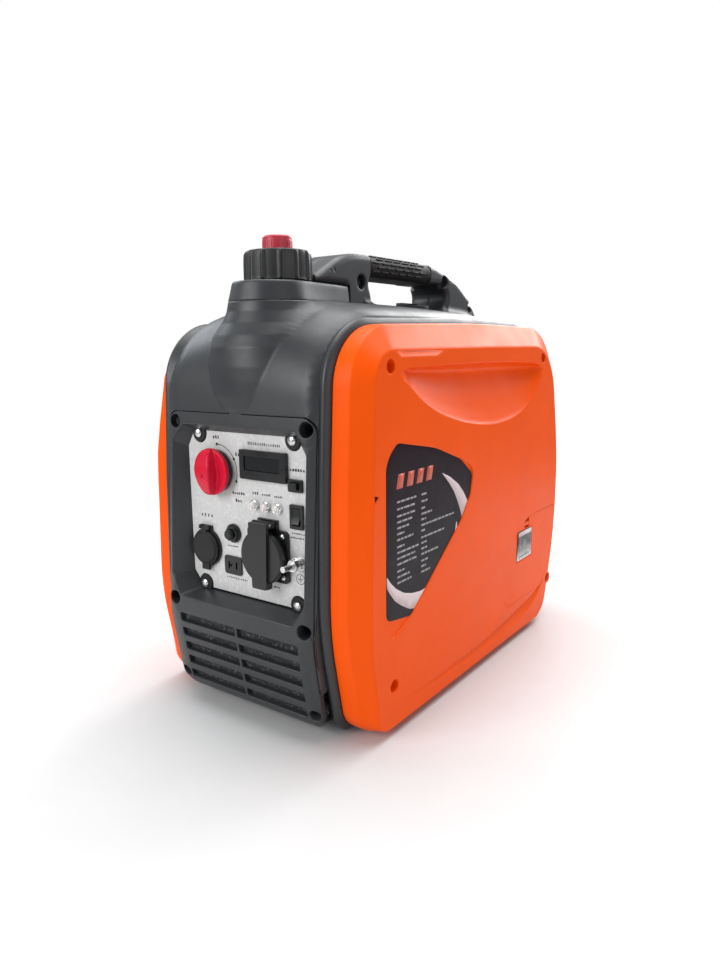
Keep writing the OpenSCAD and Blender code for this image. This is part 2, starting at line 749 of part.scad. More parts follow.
module ac_lid() {
    color([0.1, 0.1, 0.1]) on_plate(ac_pos) difference() {
        union() {
            translate([0, 0, 8.4]) cylinder(r = ac_r, h = 3);
            translate([0, 0, 11.3]) cylinder(r1 = ac_r, r2 = ac_r - 1.4, h = 1.4);
            translate([0, 0, 12.6]) linear_extrude(2.6) lid_bar();
            translate([-5.6, 20, 9.2]) cube([11.2, 8.5, 4]);
            translate([-5.6, 0, 0]) rotate([90, 0, 90]) translate([28.5, 9.5]) cylinder(r = 2.9, h = 11.2);
            translate([-7.8, -27, 7.2]) cube([15.6, 5.5, 5.6]);
        }
        on_hinge(ac_pivot, ac_pos, 9.5) cylinder(r = 1.25, h = 30, center = true);
    }
}

// The raised bar down the middle of the mains lid
module lid_bar() {
    polygon(rounded([[-8, -27, 1.5], [8, -27, 1.5], [10.3, 30.5, 1.5], [-10.3, 30.5, 1.5]], 4));
}

module ac_hinge_pin() {
    color(silver) on_plate(ac_pos) on_hinge(ac_pivot, ac_pos, 9.5) cylinder(r = 1.2, h = 18.6, center = true);
}

module ground_stud() {
    color(silver) on_plate(ground_pos) {
        translate([0, 0, -14]) cylinder(r = 3, h = 27);
        translate([0, 0, 12.9]) cylinder(r = 2.6, h = 10.1);
        translate([0, 0, 0.1]) cylinder(r = 6.6, h = 1.4);
        translate([0, 0, 1.5]) cylinder(r = 5.4, h = 3.6, $fn = 6);
    }
}

module ground_nut() {
    color(silver) on_plate(ground_pos) difference() {
        union() {
            translate([0, 0, 5.6]) cylinder(r = 6.2, h = 1.4);
            translate([0, 0, 6.9]) cylinder(r = 5.4, h = 5, $fn = 6);
        }
        translate([0, 0, 5]) cylinder(r = 3.05, h = 10);
    }
}

module case_screws() {
    color([0.3, 0.3, 0.31]) {
        for (p = frame_holes) translate([p.x, -204.3, p.y]) rotate([90, 0, 0]) screw(4.8, 14, 4.6, 3);
        for (p = frame_holes) translate([p.x, 205.1, p.y + (p.y < 60 ? 12 : 0)]) rotate([-90, 0, 0])
            screw(4.8, 12, 4.6, 3);
        for (p = cover_holes) both_sides() translate([cover_x + 8.2, p.x, p.y]) rotate([0, 90, 0])
            screw(5, 12, 4.9, 3.2);
        for (p = handle_holes) both_sides() translate([14.4, p.x, p.y]) rotate([0, 90, 0])
            screw(4, 9.4, 4, 2.6);
    }
}

// ---- Right side trim and door ----
module decal_plate() {
    color([0.13, 0.1, 0.13]) across(cover_end - 1.3, cover_end - 0.7) polygon(rounded(decal_plate_outline, 4));
}

module service_door() {
    color(orange) difference() {
        union() {
            across(cover_end - 3, cover_end) polygon(rounded(door_outline, 4));
            for (y = [70, 100, 130]) translate([door_hinge.x, y, door_hinge.y]) rotate([-90, 0, 0])
                cylinder(r = 1.3, h = 10);
        }
        across(cover_end - 4, cover_end + 1) box2([98, 126.8], [110, 142]);
        across(cover_end - 0.6, cover_end + 1) box2([77, 91], [119, 126]);
    }
}

module door_latch() {
    color(orange) {
        across(cover_end - 2.8, cover_end - 0.2) box2([98.4, 129.2], [109.6, 133.4]);
        across(cover_end - 1, cover_end) box2([100, 131.4], [108, 133]);
    }
}

module info_plate() {
    color(silver) across(cover_end - 0.5, cover_end - 0.05) polygon(rounded([[78, 92, 2], [118, 92, 2],
        [118, 125.6, 2], [80, 125.6, 2]], 3));
}

module plug_access_lid() {
    color(black) translate([0, lid_y, 0]) {
        translate([0, 0, 366.3]) cylinder(r = 24, h = 6.2);
        translate([0, 0, 356]) cylinder(r = 21.6, h = 11);
        translate([-4, -17, 372.4]) cube([8, 34, 3.4]);
    }
}

// ---- Recoil starter ----
module starter_grip() {
    color(black) {
        translate([-cover_end + 21, starter_y, starter_z]) rotate([0, -90, 0]) cylinder(r = 8, h = 9);
        translate([-cover_end + 12.6, 0, 0]) mirror([1, 0, 0]) across(0, 12) translate([starter_y, starter_z])
            polygon(rounded([[-38, -10, 9], [38, -10, 9], [38, 10, 9], [-38, 10, 9]], 5));
    }
}

module starter_rope() {
    color([0.85, 0.85, 0.8]) translate([-cover_end + 21.2, starter_y, starter_z]) rotate([0, 90, 0])
        cylinder(r = rope_r, h = cover_end - 25, $fn = 12);
}

module starter_pulley() {
    color([0.85, 0.85, 0.82]) translate([0, starter_y, crank_z]) rotate([90, 0, 0]) difference() {
        union() {
            translate([0, 0, -7]) cylinder(r = pulley_r - rope_r - 0.4, h = 14);
            for (z = [-9, 6]) translate([0, 0, z]) cylinder(r = pulley_r + 5, h = 3);
        }
        translate([0, 0, -20]) cylinder(r = 8.05, h = 40);
        for (a = [0:60:300]) rotate(a) translate([26, 0, -20]) cylinder(r = 8, h = 40);
    }
}

module starter_housing() {
    color([0.2, 0.2, 0.21]) translate([0, starter_y, crank_z]) rotate([90, 0, 0]) difference() {
        union() {
            translate([0, 0, -14]) cylinder(r = 60, h = 30);
            for (a = [45:90:315]) rotate(a) translate([64, 0, -13]) cylinder(r = 7, h = 6);
        }
        difference() {
            translate([0, 0, -15]) cylinder(r = 56, h = 27);
            translate([0, 0, -0.1]) cylinder(r = 8, h = 13);
        }
        for (a = [0:30:330]) rotate(a) translate([38, 0, 0]) cylinder(r = 6, h = 40);
        for (a = [45:90:315]) rotate(a) translate([65.5, 0, -20]) cylinder(r = 2.6, h = 20);
        translate([-70, pulley_r - 4, -5]) cube([60, 8, 10]);
    }
}

// ---- Engine and alternator ----
module crankshaft() {
    color([0.55, 0.55, 0.56]) translate([0, 0, crank_z]) rotate([-90, 0, 0]) {
        translate([0, 0, -84]) cylinder(r = 9, h = 100);
        translate([0, 0, -95]) cylinder(r = 5, h = 12);
        translate([0, 0, 4]) cylinder(r = 30, h = 10);
        translate([0, 0, 14]) translate([0, -14, 0]) cylinder(r = 9, h = 12);
        translate([0, 0, 26]) cylinder(r = 30, h = 10);
        translate([0, 0, 36]) cylinder(r = 9, h = 18);
    }
}

module rotor_fan() {
    color([0.35, 0.36, 0.38]) translate([0, -81, crank_z]) rotate([-90, 0, 0]) difference() {
        union() {
            cylinder(r = 54, h = 4);
            difference() {
                cylinder(r = 50, h = 40);
                translate([0, 0, 4]) cylinder(r = 44, h = 40);
            }
            for (a = [0:24:336]) rotate(a) translate([34, -1.2, -11]) cube([18, 2.4, 11.5]);
            cylinder(r = 14, h = 12);
        }
        translate([0, 0, -20]) cylinder(r = 8.99, h = 80);
    }
}

module stator() {
    color([0.72, 0.42, 0.2]) translate([0, -66, crank_z]) rotate([-90, 0, 0]) difference() {
        union() {
            cylinder(r = 30, h = 24);
            for (a = [0:30:330]) rotate(a) translate([28, -5, 1]) cube([14, 10, 22]);
            translate([0, 0, 23.9]) cylinder(r = 20, h = 12.9);
        }
        translate([0, 0, -1]) cylinder(r = 10, h = 40);
    }
}

module engine_block() {
    color([0.6, 0.61, 0.62]) difference() {
        union() {
            translate([0, -29, crank_z]) rotate([-90, 0, 0]) cylinder(r = 46, h = 4.1);
            translate([0, 0, 62]) linear_extrude(112) polygon(rounded([[-54, -25, 10], [54, -25, 10],
                [54, 66, 10], [-54, 66, 10]], 4));
            for (x = [-44, 44], y = [-14, 50]) translate([x, y, 58]) cylinder(r = 12, h = 10);
        }
        translate([0, -10, crank_z]) rotate([-90, 0, 0]) cylinder(r = 40, h = 60);
        translate([0, -35, crank_z]) rotate([-90, 0, 0]) cylinder(r = 9.05, h = 95);
        translate([0, 20, crank_z]) cylinder(r = 22, h = 60);
    }
}

module cylinder_head() {
    color([0.66, 0.67, 0.68]) difference() {
        union() {
            translate([0, 30, 174.2]) cylinder(r = 30, h = 74);
            for (z = [180:8:236]) translate([-44, -12, z]) cube([88, 86, 2.6]);
            translate([-36, -8, 244]) cube([72, 78, 16]);
        }
        translate([0, 30, 170]) cylinder(r = 22, h = 66);
        translate([0, lid_y, 225]) cylinder(r = 5.05, h = 60);
    }
}

module spark_plug() {
    color([0.9, 0.9, 0.88]) translate([0, lid_y, 0]) {
        translate([0, 0, 240]) cylinder(r = 5, h = 21);
        translate([0, 0, 260.2]) cylinder(r = 10.4, h = 8, $fn = 6);
        translate([0, 0, 268]) cylinder(r = 6, h = 24);
    }
    color([0.1, 0.1, 0.1]) translate([0, lid_y, 290]) {
        cylinder(r = 9, h = 44);
        translate([0, 0, 36]) rotate([90, 0, 0]) cylinder(r = 6, h = 26);
    }
}

module muffler() {
    color([0.5, 0.48, 0.45]) {
        difference() {
            union() {
                translate([0, 96, 134]) linear_extrude(126) polygon(rounded([[-64, 0, 22], [64, 0, 22],
                    [64, 96, 22], [-64, 96, 22]], 5));
                translate([36, 191, 214]) rotate([-90, 0, 0]) cylinder(r = 14, h = tail_y - 191);
            }
            translate([36, 200, 214]) rotate([-90, 0, 0]) cylinder(r = 11, h = 60);
        }
        translate([-20, 74.3, 220]) rotate([-90, 0, 0]) cylinder(r = 11, h = 22);
    }
}

module fuel_tank() {
    color([0.15, 0.15, 0.16]) difference() {
        union() {
            across(-80, 80) polygon(rounded([[-176, 188, 12], [-176, 276, 8], [-198, 284, 8],
                [-195, 318, 30], [-160, 343, 30], [-46, 343, 20], [-46, 188, 12]], 5));
            translate([0, cap_y, 340]) cylinder(r = 23.4, h = 46.8);
        }
        across(-77, 77) polygon(rounded([[-173, 191, 9], [-173, 279, 5], [-195, 287, 5],
            [-192, 316, 27], [-160, 340, 27], [-49, 340, 17], [-49, 191, 9]], 5));
        translate([0, cap_y, 330]) cylinder(r = 20, h = 60);
    }
}

module inverter_unit() {
    color([0.55, 0.56, 0.58]) {
        translate([-76, -176, 24]) cube([152, 38, 60]);
        for (x = [-64:8:64]) translate([x - 1.2, -196, 24]) cube([2.4, 20.1, 60]);
    }
}

module air_filter_box() {
    color([0.12, 0.12, 0.13]) {
        across(64, 114) polygon(rounded([[66, 56, 6], [66, 116, 6], [150, 116, 6], [150, 56, 6]], 4));
        across(113.9, 117) polygon(rounded([[70, 60, 6], [70, 112, 6], [146, 112, 6], [146, 60, 6]], 4));
        across(116.9, 119.4) box2([100, 82], [116, 90]);
    }
}

module carburettor() {
    color([0.7, 0.7, 0.68]) {
        translate([70, 84, 120]) cylinder(r = 15, h = 18);
        translate([70, 84, 137.9]) cylinder(r = 19, h = 22);
        translate([70, 60, 150]) rotate([-90, 0, 0]) cylinder(r = 12, h = 34);
        translate([84, 84, 116.2]) cylinder(r = 7, h = 26);
    }
}

module engine_mounts() {
    color([0.1, 0.1, 0.1]) for (x = [-44, 44], y = [-14, 50]) translate([x, y, 22]) {
        cylinder(r = 13, h = 36);
        translate([0, 0, -9]) cylinder(r = 4, h = 9.1);
    }
}

base_pan();
feet();
front_frame();
top_shell();
rear_frame();
right_cover();
left_cover();
rim_strips();
neck_collar();
handle_left();
handle_right();
handle_grip();
filler_gasket();
fuel_cap_plug();
fuel_cap();
fuel_cap_vent();
control_plate();
panel_screws();
plate_grommets();
control_knob();
meter_bezel();
meter_window();
reset_switch_body();
reset_button();
lamp_bezels();
lamp_lenses();
eco_switch_body();
eco_rocker();
usb_socket();
usb_cap();
breaker_body();
breaker_button();
dc_socket();
ac_socket();
ac_lid();
ac_hinge_pin();
ground_stud();
ground_nut();
case_screws();
decal_plate();
service_door();
door_latch();
info_plate();
plug_access_lid();
starter_grip();
starter_rope();
starter_pulley();
starter_housing();
crankshaft();
rotor_fan();
stator();
engine_block();
cylinder_head();
spark_plug();
muffler();
fuel_tank();
inverter_unit();
air_filter_box();
carburettor();
engine_mounts();
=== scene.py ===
"""Portable inverter generator: the visual model. Lengths are in millimetres until a mesh is made."""

import math

import bmesh
import bpy
import numpy as np
from mathutils import Matrix, Vector
from mathutils.geometry import delaunay_2d_cdt


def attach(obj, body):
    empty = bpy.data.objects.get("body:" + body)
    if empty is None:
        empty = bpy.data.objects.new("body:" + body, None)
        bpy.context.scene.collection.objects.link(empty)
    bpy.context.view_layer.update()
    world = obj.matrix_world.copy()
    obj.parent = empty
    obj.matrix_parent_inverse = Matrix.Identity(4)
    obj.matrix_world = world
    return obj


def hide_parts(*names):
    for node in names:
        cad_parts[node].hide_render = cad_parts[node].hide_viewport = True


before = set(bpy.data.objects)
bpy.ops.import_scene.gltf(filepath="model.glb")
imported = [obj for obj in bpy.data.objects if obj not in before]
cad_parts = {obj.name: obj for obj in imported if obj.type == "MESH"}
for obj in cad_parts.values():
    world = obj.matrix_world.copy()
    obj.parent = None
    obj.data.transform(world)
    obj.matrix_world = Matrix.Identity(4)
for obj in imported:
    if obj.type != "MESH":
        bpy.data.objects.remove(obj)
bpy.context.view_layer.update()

PLATE_Y = -209.0    # face of the control plate
SHELL_HW = 86.4     # half width of the upper shell
FRAME_HW = 84.4     # half width of the front and rear frames
FRAME_TOP = 275.1   # top edge of both frames
COVER_X = 94.0      # inner edge of a side cover
COVER_END = 126.0   # face of a side cover
CAP_Y = -159.0      # middle of the fuel cap
LID_Y = 52.0        # middle of the spark plug lid
GRIP_HW = 25        # half width of the handle
FRONT_SCREW_Y = -204.1   # floor of the screw wells in the front frame
REAR_SCREW_Y = 205.0     # floor of the screw wells in the rear frame
DECAL_H = -1.6      # floor of the decal's sunk field, from the cover's face
STARTER = (-113.0, 165.0)   # middle of the starter grip's pocket, y and z
FLOOR_R = 1.1       # radius of the floor, in metres


# ---------------------------------------------------------------- outlines
def unit(v):
    return v / np.linalg.norm(v)


def outline(corners, n=8, step=None, runs=None):
    """A closed outline [x, y, radius per corner] with n spans per corner; straight runs are split to at most step,
    or into exactly `runs` parts, so that two outlines with as many corners match point for point."""
    m = len(corners)
    arcs = []
    for i in range(m):
        a, b, c = (np.array(corners[(i + k) % m][:2], float) for k in (-1, 0, 1))
        r = corners[i][2]
        u, v = unit(a - b), unit(c - b)
        half = math.acos(max(-1, min(1, float(u @ v)))) / 2
        mid = b + unit(u + v) * r / math.sin(half)
        p, q = b + u * r / math.tan(half), b + v * r / math.tan(half)
        a0, a1 = math.atan2(*(p - mid)[::-1]), math.atan2(*(q - mid)[::-1])
        turn = (a1 - a0 + 3 * math.pi) % (2 * math.pi) - math.pi
        arcs.append([mid + r * np.array([math.cos(a0 + turn * k / n),
                                         math.sin(a0 + turn * k / n)]) for k in range(n + 1)])
    out = []
    for i in range(m):
        out += arcs[i]
        p, q = arcs[i][-1], arcs[(i + 1) % m][0]
        parts = runs if runs else (max(1, math.ceil(np.linalg.norm(q - p) / step)) if step else 1)
        out += [p + (q - p) * k / parts for k in range(1, parts)]
    out = np.array(out)
    keep = np.linalg.norm(out - np.roll(out, 1, 0), axis=1) > 1e-4
    return out if runs else out[keep]


def winding(pts):
    p = np.array(pts, float)[:, :2]
    q = np.roll(p, -1, 0)
    return float(np.sum(p[:, 0] * q[:, 1] - q[:, 0] * p[:, 1]))


def grow(corners, d):
    """The same corners with every side moved outwards by d."""
    side = math.copysign(1, winding(corners))
    m, out = len(corners), []
    for i in range(m):
        p, q, s = (np.array(corners[(i + k) % m][:2], float) for k in (-1, 0, 1))
        u, v = unit(q - p), unit(s - q)
        a, b = side * np.array([u[1], -u[0]]), side * np.array([v[1], -v[0]])
        move = d * (a + b) / (1 + a @ b)
        out.append([q[0] + move[0], q[1] + move[1], max(corners[i][2] + d, 0.4)])
    return out


def offset(loop, d):
    """A closed loop of points moved outwards by d along its normals."""
    side = math.copysign(1, winding(loop))
    t = np.roll(loop, -1, 0) - np.roll(loop, 1, 0)
    t /= np.linalg.norm(t, axis=1)[:, None]
    return loop + d * side * np.stack([t[:, 1], -t[:, 0]], 1)


def circle(x, y, r, n=40):
    """A circle of n points; r may hold a radius for each."""
    a = np.arange(n) * 2 * math.pi / n
    return np.stack([x + r * np.cos(a), y + r * np.sin(a)], 1)


def rect(x0, y0, x1, y1, r):
    return [[x0, y0, r], [x1, y0, r], [x1, y1, r], [x0, y1, r]]


def box_loop(x0, y0, x1, y1):
    return np.array([(x0, y0), (x1, y0), (x1, y1), (x0, y1)], float)


def level(pts, z):
    """Flat points lifted to height z."""
    return np.column_stack([pts, np.full(len(pts), z)])


def ease(t):
    """0 to 1 with a soft start and a soft end."""
    t = np.clip(t, 0, 1)
    return t * t * (3 - 2 * t)


def inside(pts, loop):
    """Which points lie inside a closed loop."""
    x, y = pts[:, 0][:, None], pts[:, 1][:, None]
    p, q = loop, np.roll(loop, -1, 0)
    cross = (p[None, :, 1] > y) != (q[None, :, 1] > y)
    dy = q[None, :, 1] - p[None, :, 1]
    xx = p[None, :, 0] + (y - p[None, :, 1]) * (q[None, :, 0] - p[None, :, 0]) / np.where(dy == 0, 1e-12, dy)
    return (np.sum(cross & (x < xx), axis=1) % 2) == 1


def distance(pts, line, closed=True):
    """Unsigned distance from each point to a line of points."""
    p = line if closed else line[:-1]
    q = np.roll(line, -1, 0) if closed else line[1:]
    best = np.full(len(pts), 1e9)
    d = q - p
    ll = np.maximum((d ** 2).sum(1), 1e-12)
    for k in range(0, len(pts), 20000):
        c = pts[k:k + 20000]
        w = c[:, None, :] - p[None]
        t = np.clip((w * d[None]).sum(2) / ll, 0, 1)
        e = w - t[..., None] * d[None]
        best[k:k + 20000] = np.sqrt((e ** 2).sum(2)).min(1)
    return best


def signed(pts, loop):
    d = distance(pts, loop)
    return np.where(inside(pts, loop), -d, d)


# ---------------------------------------------------------------- meshes
class Skin:
    """A surface drawn in flat sheet coordinates (u, v, height) and laid on the object by place()."""

    def __init__(self, place=lambda p: p):
        self.place, self.pts, self.faces, self.tags = place, [], [], []
        self.tag = self.count = 0

    def loop(self, uv, h=0.0):
        uv = np.asarray(uv, float)
        if uv.shape[1] == 2:
            uv = np.column_stack([uv, np.broadcast_to(h, len(uv))])
        first = self.count
        self.pts.append(uv)
        self.count += len(uv)
        return np.arange(first, self.count)

    def strip(self, a, b, closed=True):
        n = len(a)
        for i in range(n if closed else n - 1):
            j = (i + 1) % n
            self.faces.append((a[i], a[j], b[j], b[i]))
            self.tags.append(self.tag)

    def ribbon(self, rows):
        """Strips from each row to the next; returns the first and the last row."""
        for a, b in zip(rows, rows[1:]):
            self.strip(a, b)
        return rows[0], rows[-1]

    def rim(self, base, steps):
        """Rows round a closed loop at each (outward distance, height); returns the first and the last row."""
        return self.ribbon([self.loop(offset(base, d) if abs(d) > 1e-9 else base, h) for d, h in steps])

    def net(self, idx):
        """Faces over a grid of points; returns its outer row."""
        for p, q in zip(idx, idx[1:]):
            self.strip(p, q, closed=False)
        return np.array(list(idx[:, 0]) + list(idx[-1, 1:]) + list(idx[-2::-1, -1]) + list(idx[0, -2:0:-1]))

    def cap(self, row):
        self.faces.append(tuple(row))
        self.tags.append(self.tag)

    def fill(self, outer, holes=(), spacing=8.0, height=0.0):
        """Triangles inside the outer row and outside the holes, with grid points for the curvature."""
        every = np.concatenate(self.pts)
        rings = [np.asarray(outer)] + [np.asarray(h) for h in holes]
        uv = [every[r][:, :2] for r in rings]
        verts, edges, ids = [], [], []
        for r, p in zip(rings, uv):
            k = len(verts)
            verts += [Vector(x) for x in p]
            ids += list(r)
            edges += [(k + i, k + (i + 1) % len(r)) for i in range(len(r))]

        def within(q):
            return inside(q, uv[0]) & ~np.any([inside(q, p) for p in uv[1:]] or [np.zeros(len(q), bool)], axis=0)

        lo, hi = uv[0].min(0), uv[0].max(0)
        sx, sy = (spacing, spacing) if np.isscalar(spacing) else spacing
        gx, gy = np.meshgrid(np.arange(lo[0] + sx / 2, hi[0], sx), np.arange(lo[1] + sy / 2, hi[1], sy))
        gx = gx + (np.arange(gx.shape[0]) % 2)[:, None] * sx / 2
        g = np.stack([gx.ravel(), gy.ravel()], 1)
        g = g[within(g)]
        for p in uv:
            if len(g):
                g = g[distance(g, p) > 0.3 * min(sx, sy)]
        if len(g):
            verts += [Vector(x) for x in g]
            ids += list(self.loop(g, height))
        out = delaunay_2d_cdt(verts, edges, [], 0, 1e-5)
        pos = np.array([v[:] for v in out[0]])
        back = [ids[o[0]] if o else None for o in out[3]]
        tri = np.array(out[2])
        for t in tri[within(pos[tri].mean(1))]:
            f = [back[k] for k in t]
            if None not in f and len(set(f)) == 3:
                self.faces.append(tuple(f))
                self.tags.append(self.tag)

    def points(self):
        return self.place(np.concatenate(self.pts))


def mesh(name, co, faces, mats, tags=None, merge=0.002):
    """An object from points in millimetres."""
    me = bpy.data.meshes.new(name)
    me.from_pydata([tuple(float(x) * 0.001 for x in p) for p in co], [], [tuple(int(i) for i in f) for f in faces])
    mats = mats if isinstance(mats, (list, tuple)) else [mats]
    for m in mats:
        me.materials.append(m)
    if tags is not None and len(tags) == len(me.polygons):
        me.polygons.foreach_set("material_index", [int(t) for t in tags])
    bm = bmesh.new()
    bm.from_mesh(me)
    if merge:
        bmesh.ops.remove_doubles(bm, verts=bm.verts, dist=merge * 0.001)
    bmesh.ops.delete(bm, geom=[v for v in bm.verts if not v.link_faces], context="VERTS")
    bmesh.ops.recalc_face_normals(bm, faces=bm.faces)
    bm.to_mesh(me)
    bm.free()
    for p in me.polygons:
        p.use_smooth = True
    me.update()
    return add_object(name, me)


def add_object(name, data):
    ob = bpy.data.objects.new(name, data)
    bpy.context.scene.collection.objects.link(ob)
    return ob


def weighted(ob):
    m = ob.modifiers.new("normals", "WEIGHTED_NORMAL")
    m.mode = "FACE_AREA"
    m.weight = 90
    m.keep_sharp = True
    m.thresh = 0.01
    return ob


def put(ob, body, slot, *nodes):
    """The piece rides on a body and stands for CAD nodes, which it hides; the slot is not used."""
    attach(ob, body)
    if nodes:
        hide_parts(*nodes)
    return ob


def piece(name, co, faces, mats, body, slot, *nodes, tags=None):
    return put(weighted(mesh(name, co, faces, mats, tags)), body, slot, *nodes)


def skin_piece(name, skin, mats, body, slot, *nodes):
    return piece(name, skin.points(), skin.faces, mats, body, slot, *nodes, tags=skin.tags)


def join_solids(parts):
    """One set of points and faces from several (points, faces)."""
    co, faces, k = [], [], 0
    for p, f in parts:
        co.append(np.asarray(p, float))
        faces += [tuple(int(i) + k for i in g) for g in f]
        k += len(p)
    return np.concatenate(co), faces


def tube_rows(rows):
    """Points and faces of a closed loft through rows of equally many points."""
    n = len(rows[0])
    faces = []
    for k in range(len(rows) - 1):
        for i in range(n):
            j = (i + 1) % n
            faces.append((k * n + i, k * n + j, (k + 1) * n + j, (k + 1) * n + i))
    faces.append(tuple(range(n - 1, -1, -1)))
    faces.append(tuple((len(rows) - 1) * n + i for i in range(n)))
    return np.concatenate(rows), faces


def rounded_block(size, r, n=3):
    """A box with all its edges rounded, centred on the origin."""
    w, d, h = size
    r = min(r, w / 2 - 1e-3, d / 2 - 1e-3, h / 2 - 1e-3)
    rows = []
    for s, steps in ((-1, range(n + 1)), (1, range(n, -1, -1))):
        for k in steps:
            a = (k / n) * math.pi / 2
            ins, z = r * (1 - math.sin(a)), s * (h / 2 - r * (1 - math.cos(a)))
            edge = rect(-w / 2 + ins, -d / 2 + ins, w / 2 - ins, d / 2 - ins, max(r - ins, 0.02))
            rows.append(level(outline(edge, n=n, runs=1), z))
    return tube_rows(rows)


# ---------------------------------------------------------------- distance fields
def smin(a, b, k):
    h = np.maximum(k - np.abs(a - b), 0) / np.maximum(k, 1e-6)
    return np.minimum(a, b) - h * h * k * 0.25


def smax(a, b, k):
    return -smin(-a, -b, k)


def surface(f, lo, hi, step, rounds=4, keep=None):
    """The surface where f is zero: a quad for every grid edge that crosses it, then points drawn onto it."""
    lo, hi = np.array(lo, float), np.array(hi, float)
    dims = np.ceil((hi - lo) / step).astype(int) + 1
    axes = [lo[k] + np.arange(dims[k]) * step for k in range(3)]
    v = np.empty(dims)
    for i in range(0, dims[0], 16):
        g = np.stack(np.meshgrid(axes[0][i:i + 16], axes[1], axes[2], indexing="ij"), -1)
        v[i:i + 16] = f(g.reshape(-1, 3)).reshape(g.shape[:3])
    neg = v < 0
    n = dims - 1
    acc, cnt = np.zeros((*n, 3)), np.zeros(n)
    quads = []
    index = np.arange(n[0] * n[1] * n[2]).reshape(n)
    for ax in range(3):
        b, c = (ax + 1) % 3, (ax + 2) % 3
        lo_s, hi_s = [slice(None)] * 3, [slice(None)] * 3
        lo_s[ax], hi_s[ax] = slice(0, -1), slice(1, None)
        v0, v1 = v[tuple(lo_s)], v[tuple(hi_s)]
        cross = neg[tuple(lo_s)] != neg[tuple(hi_s)]
        at = np.argwhere(cross)
        t = (v0[cross] / (v0[cross] - v1[cross]))
        pos = at.astype(float)
        pos[:, ax] += t
        cells = []
        for db, dc in ((0, 0), (1, 0), (1, 1), (0, 1)):
            cell = at.copy()
            cell[:, b] -= db
            cell[:, c] -= dc
            cells.append(cell)
            ok = (cell >= 0).all(1) & (cell < n).all(1)
            k = tuple(cell[ok].T)
            np.add.at(acc, k, pos[ok])
            np.add.at(cnt, k, 1)
        ok = np.all([(c4 >= 0).all(1) & (c4 < n).all(1) for c4 in cells], axis=0)
        q = np.stack([index[tuple(c4[ok].T)] for c4 in cells], 1)
        flip = neg[tuple(lo_s)][cross][ok]
        q[flip] = q[flip][:, ::-1]
        quads.append(q)
    quads = np.concatenate(quads)
    used = np.unique(quads)
    p = (acc.reshape(-1, 3)[used] / cnt.reshape(-1)[used][:, None]) * step + lo
    remap = np.full(index.size, -1)
    remap[used] = np.arange(len(used))
    quads = remap[quads]
    e = 0.2 * step
    for _ in range(rounds):
        d = f(p)
        g = np.stack([f(p + off) - f(p - off) for off in np.eye(3) * e], 1) / (2 * e)
        gg = np.maximum((g ** 2).sum(1), 0.05)
        p = p - np.clip(d / gg, -step, step)[:, None] * g
    if keep is not None:
        ok = keep(p)
        quads = quads[ok[quads].all(1)]
    return p, quads


class Flat:
    """A distance drawing in a plane, sampled once and read back smoothly."""

    def __init__(self, loop, lo, hi, step=0.5):
        self.lo, self.step = np.array(lo, float), step
        n = np.ceil((np.array(hi) - self.lo) / step).astype(int) + 1
        g = np.stack(np.meshgrid(*(self.lo[k] + np.arange(n[k]) * step for k in range(2)), indexing="ij"), -1)
        self.d = signed(g.reshape(-1, 2), loop).reshape(n)
        self.n = n

    def __call__(self, a, b):
        x = np.clip((a - self.lo[0]) / self.step, 0, self.n[0] - 1.001)
        y = np.clip((b - self.lo[1]) / self.step, 0, self.n[1] - 1.001)
        i, j = x.astype(int), y.astype(int)
        fx, fy = x - i, y - j
        d = self.d
        return (d[i, j] * (1 - fx) * (1 - fy) + d[i + 1, j] * fx * (1 - fy)
                + d[i, j + 1] * (1 - fx) * fy + d[i + 1, j + 1] * fx * fy)


def slab(d2, w, r):
    """A drawing's distance d2 made solid, w its distance past its end faces, edges rounded by r."""
    a, b = np.maximum(d2 + r, 0), np.maximum(w + r, 0)
    return np.sqrt(a * a + b * b) + np.minimum(np.maximum(d2 + r, w + r), 0) - r


# ---------------------------------------------------------------- materials
def feed(tree, node, inputs):
    """Give each named input of a node its value, or join it to a socket."""
    for key, value in inputs.items():
        if isinstance(value, bpy.types.NodeSocket):
            tree.links.new(value, node.inputs[key])
        else:
            node.inputs[key].default_value = value


def adder(tree):
    """A function that adds a shader node with its inputs and its settings."""
    def add(kind, inputs=None, **settings):
        node = tree.nodes.new("ShaderNode" + kind)
        for key, value in settings.items():
            setattr(node, key, value)
        feed(tree, node, inputs or {})
        return node
    return add


def blend(add, fac, c1, c2, mode="MIX"):
    """A colour between two, each an RGB triple or a socket."""
    c1, c2 = ((*c, 1) if isinstance(c, (tuple, list)) else c for c in (c1, c2))
    return add("Mix", {0: fac, 6: c1, 7: c2}, data_type="RGBA", blend_type=mode).outputs[2]


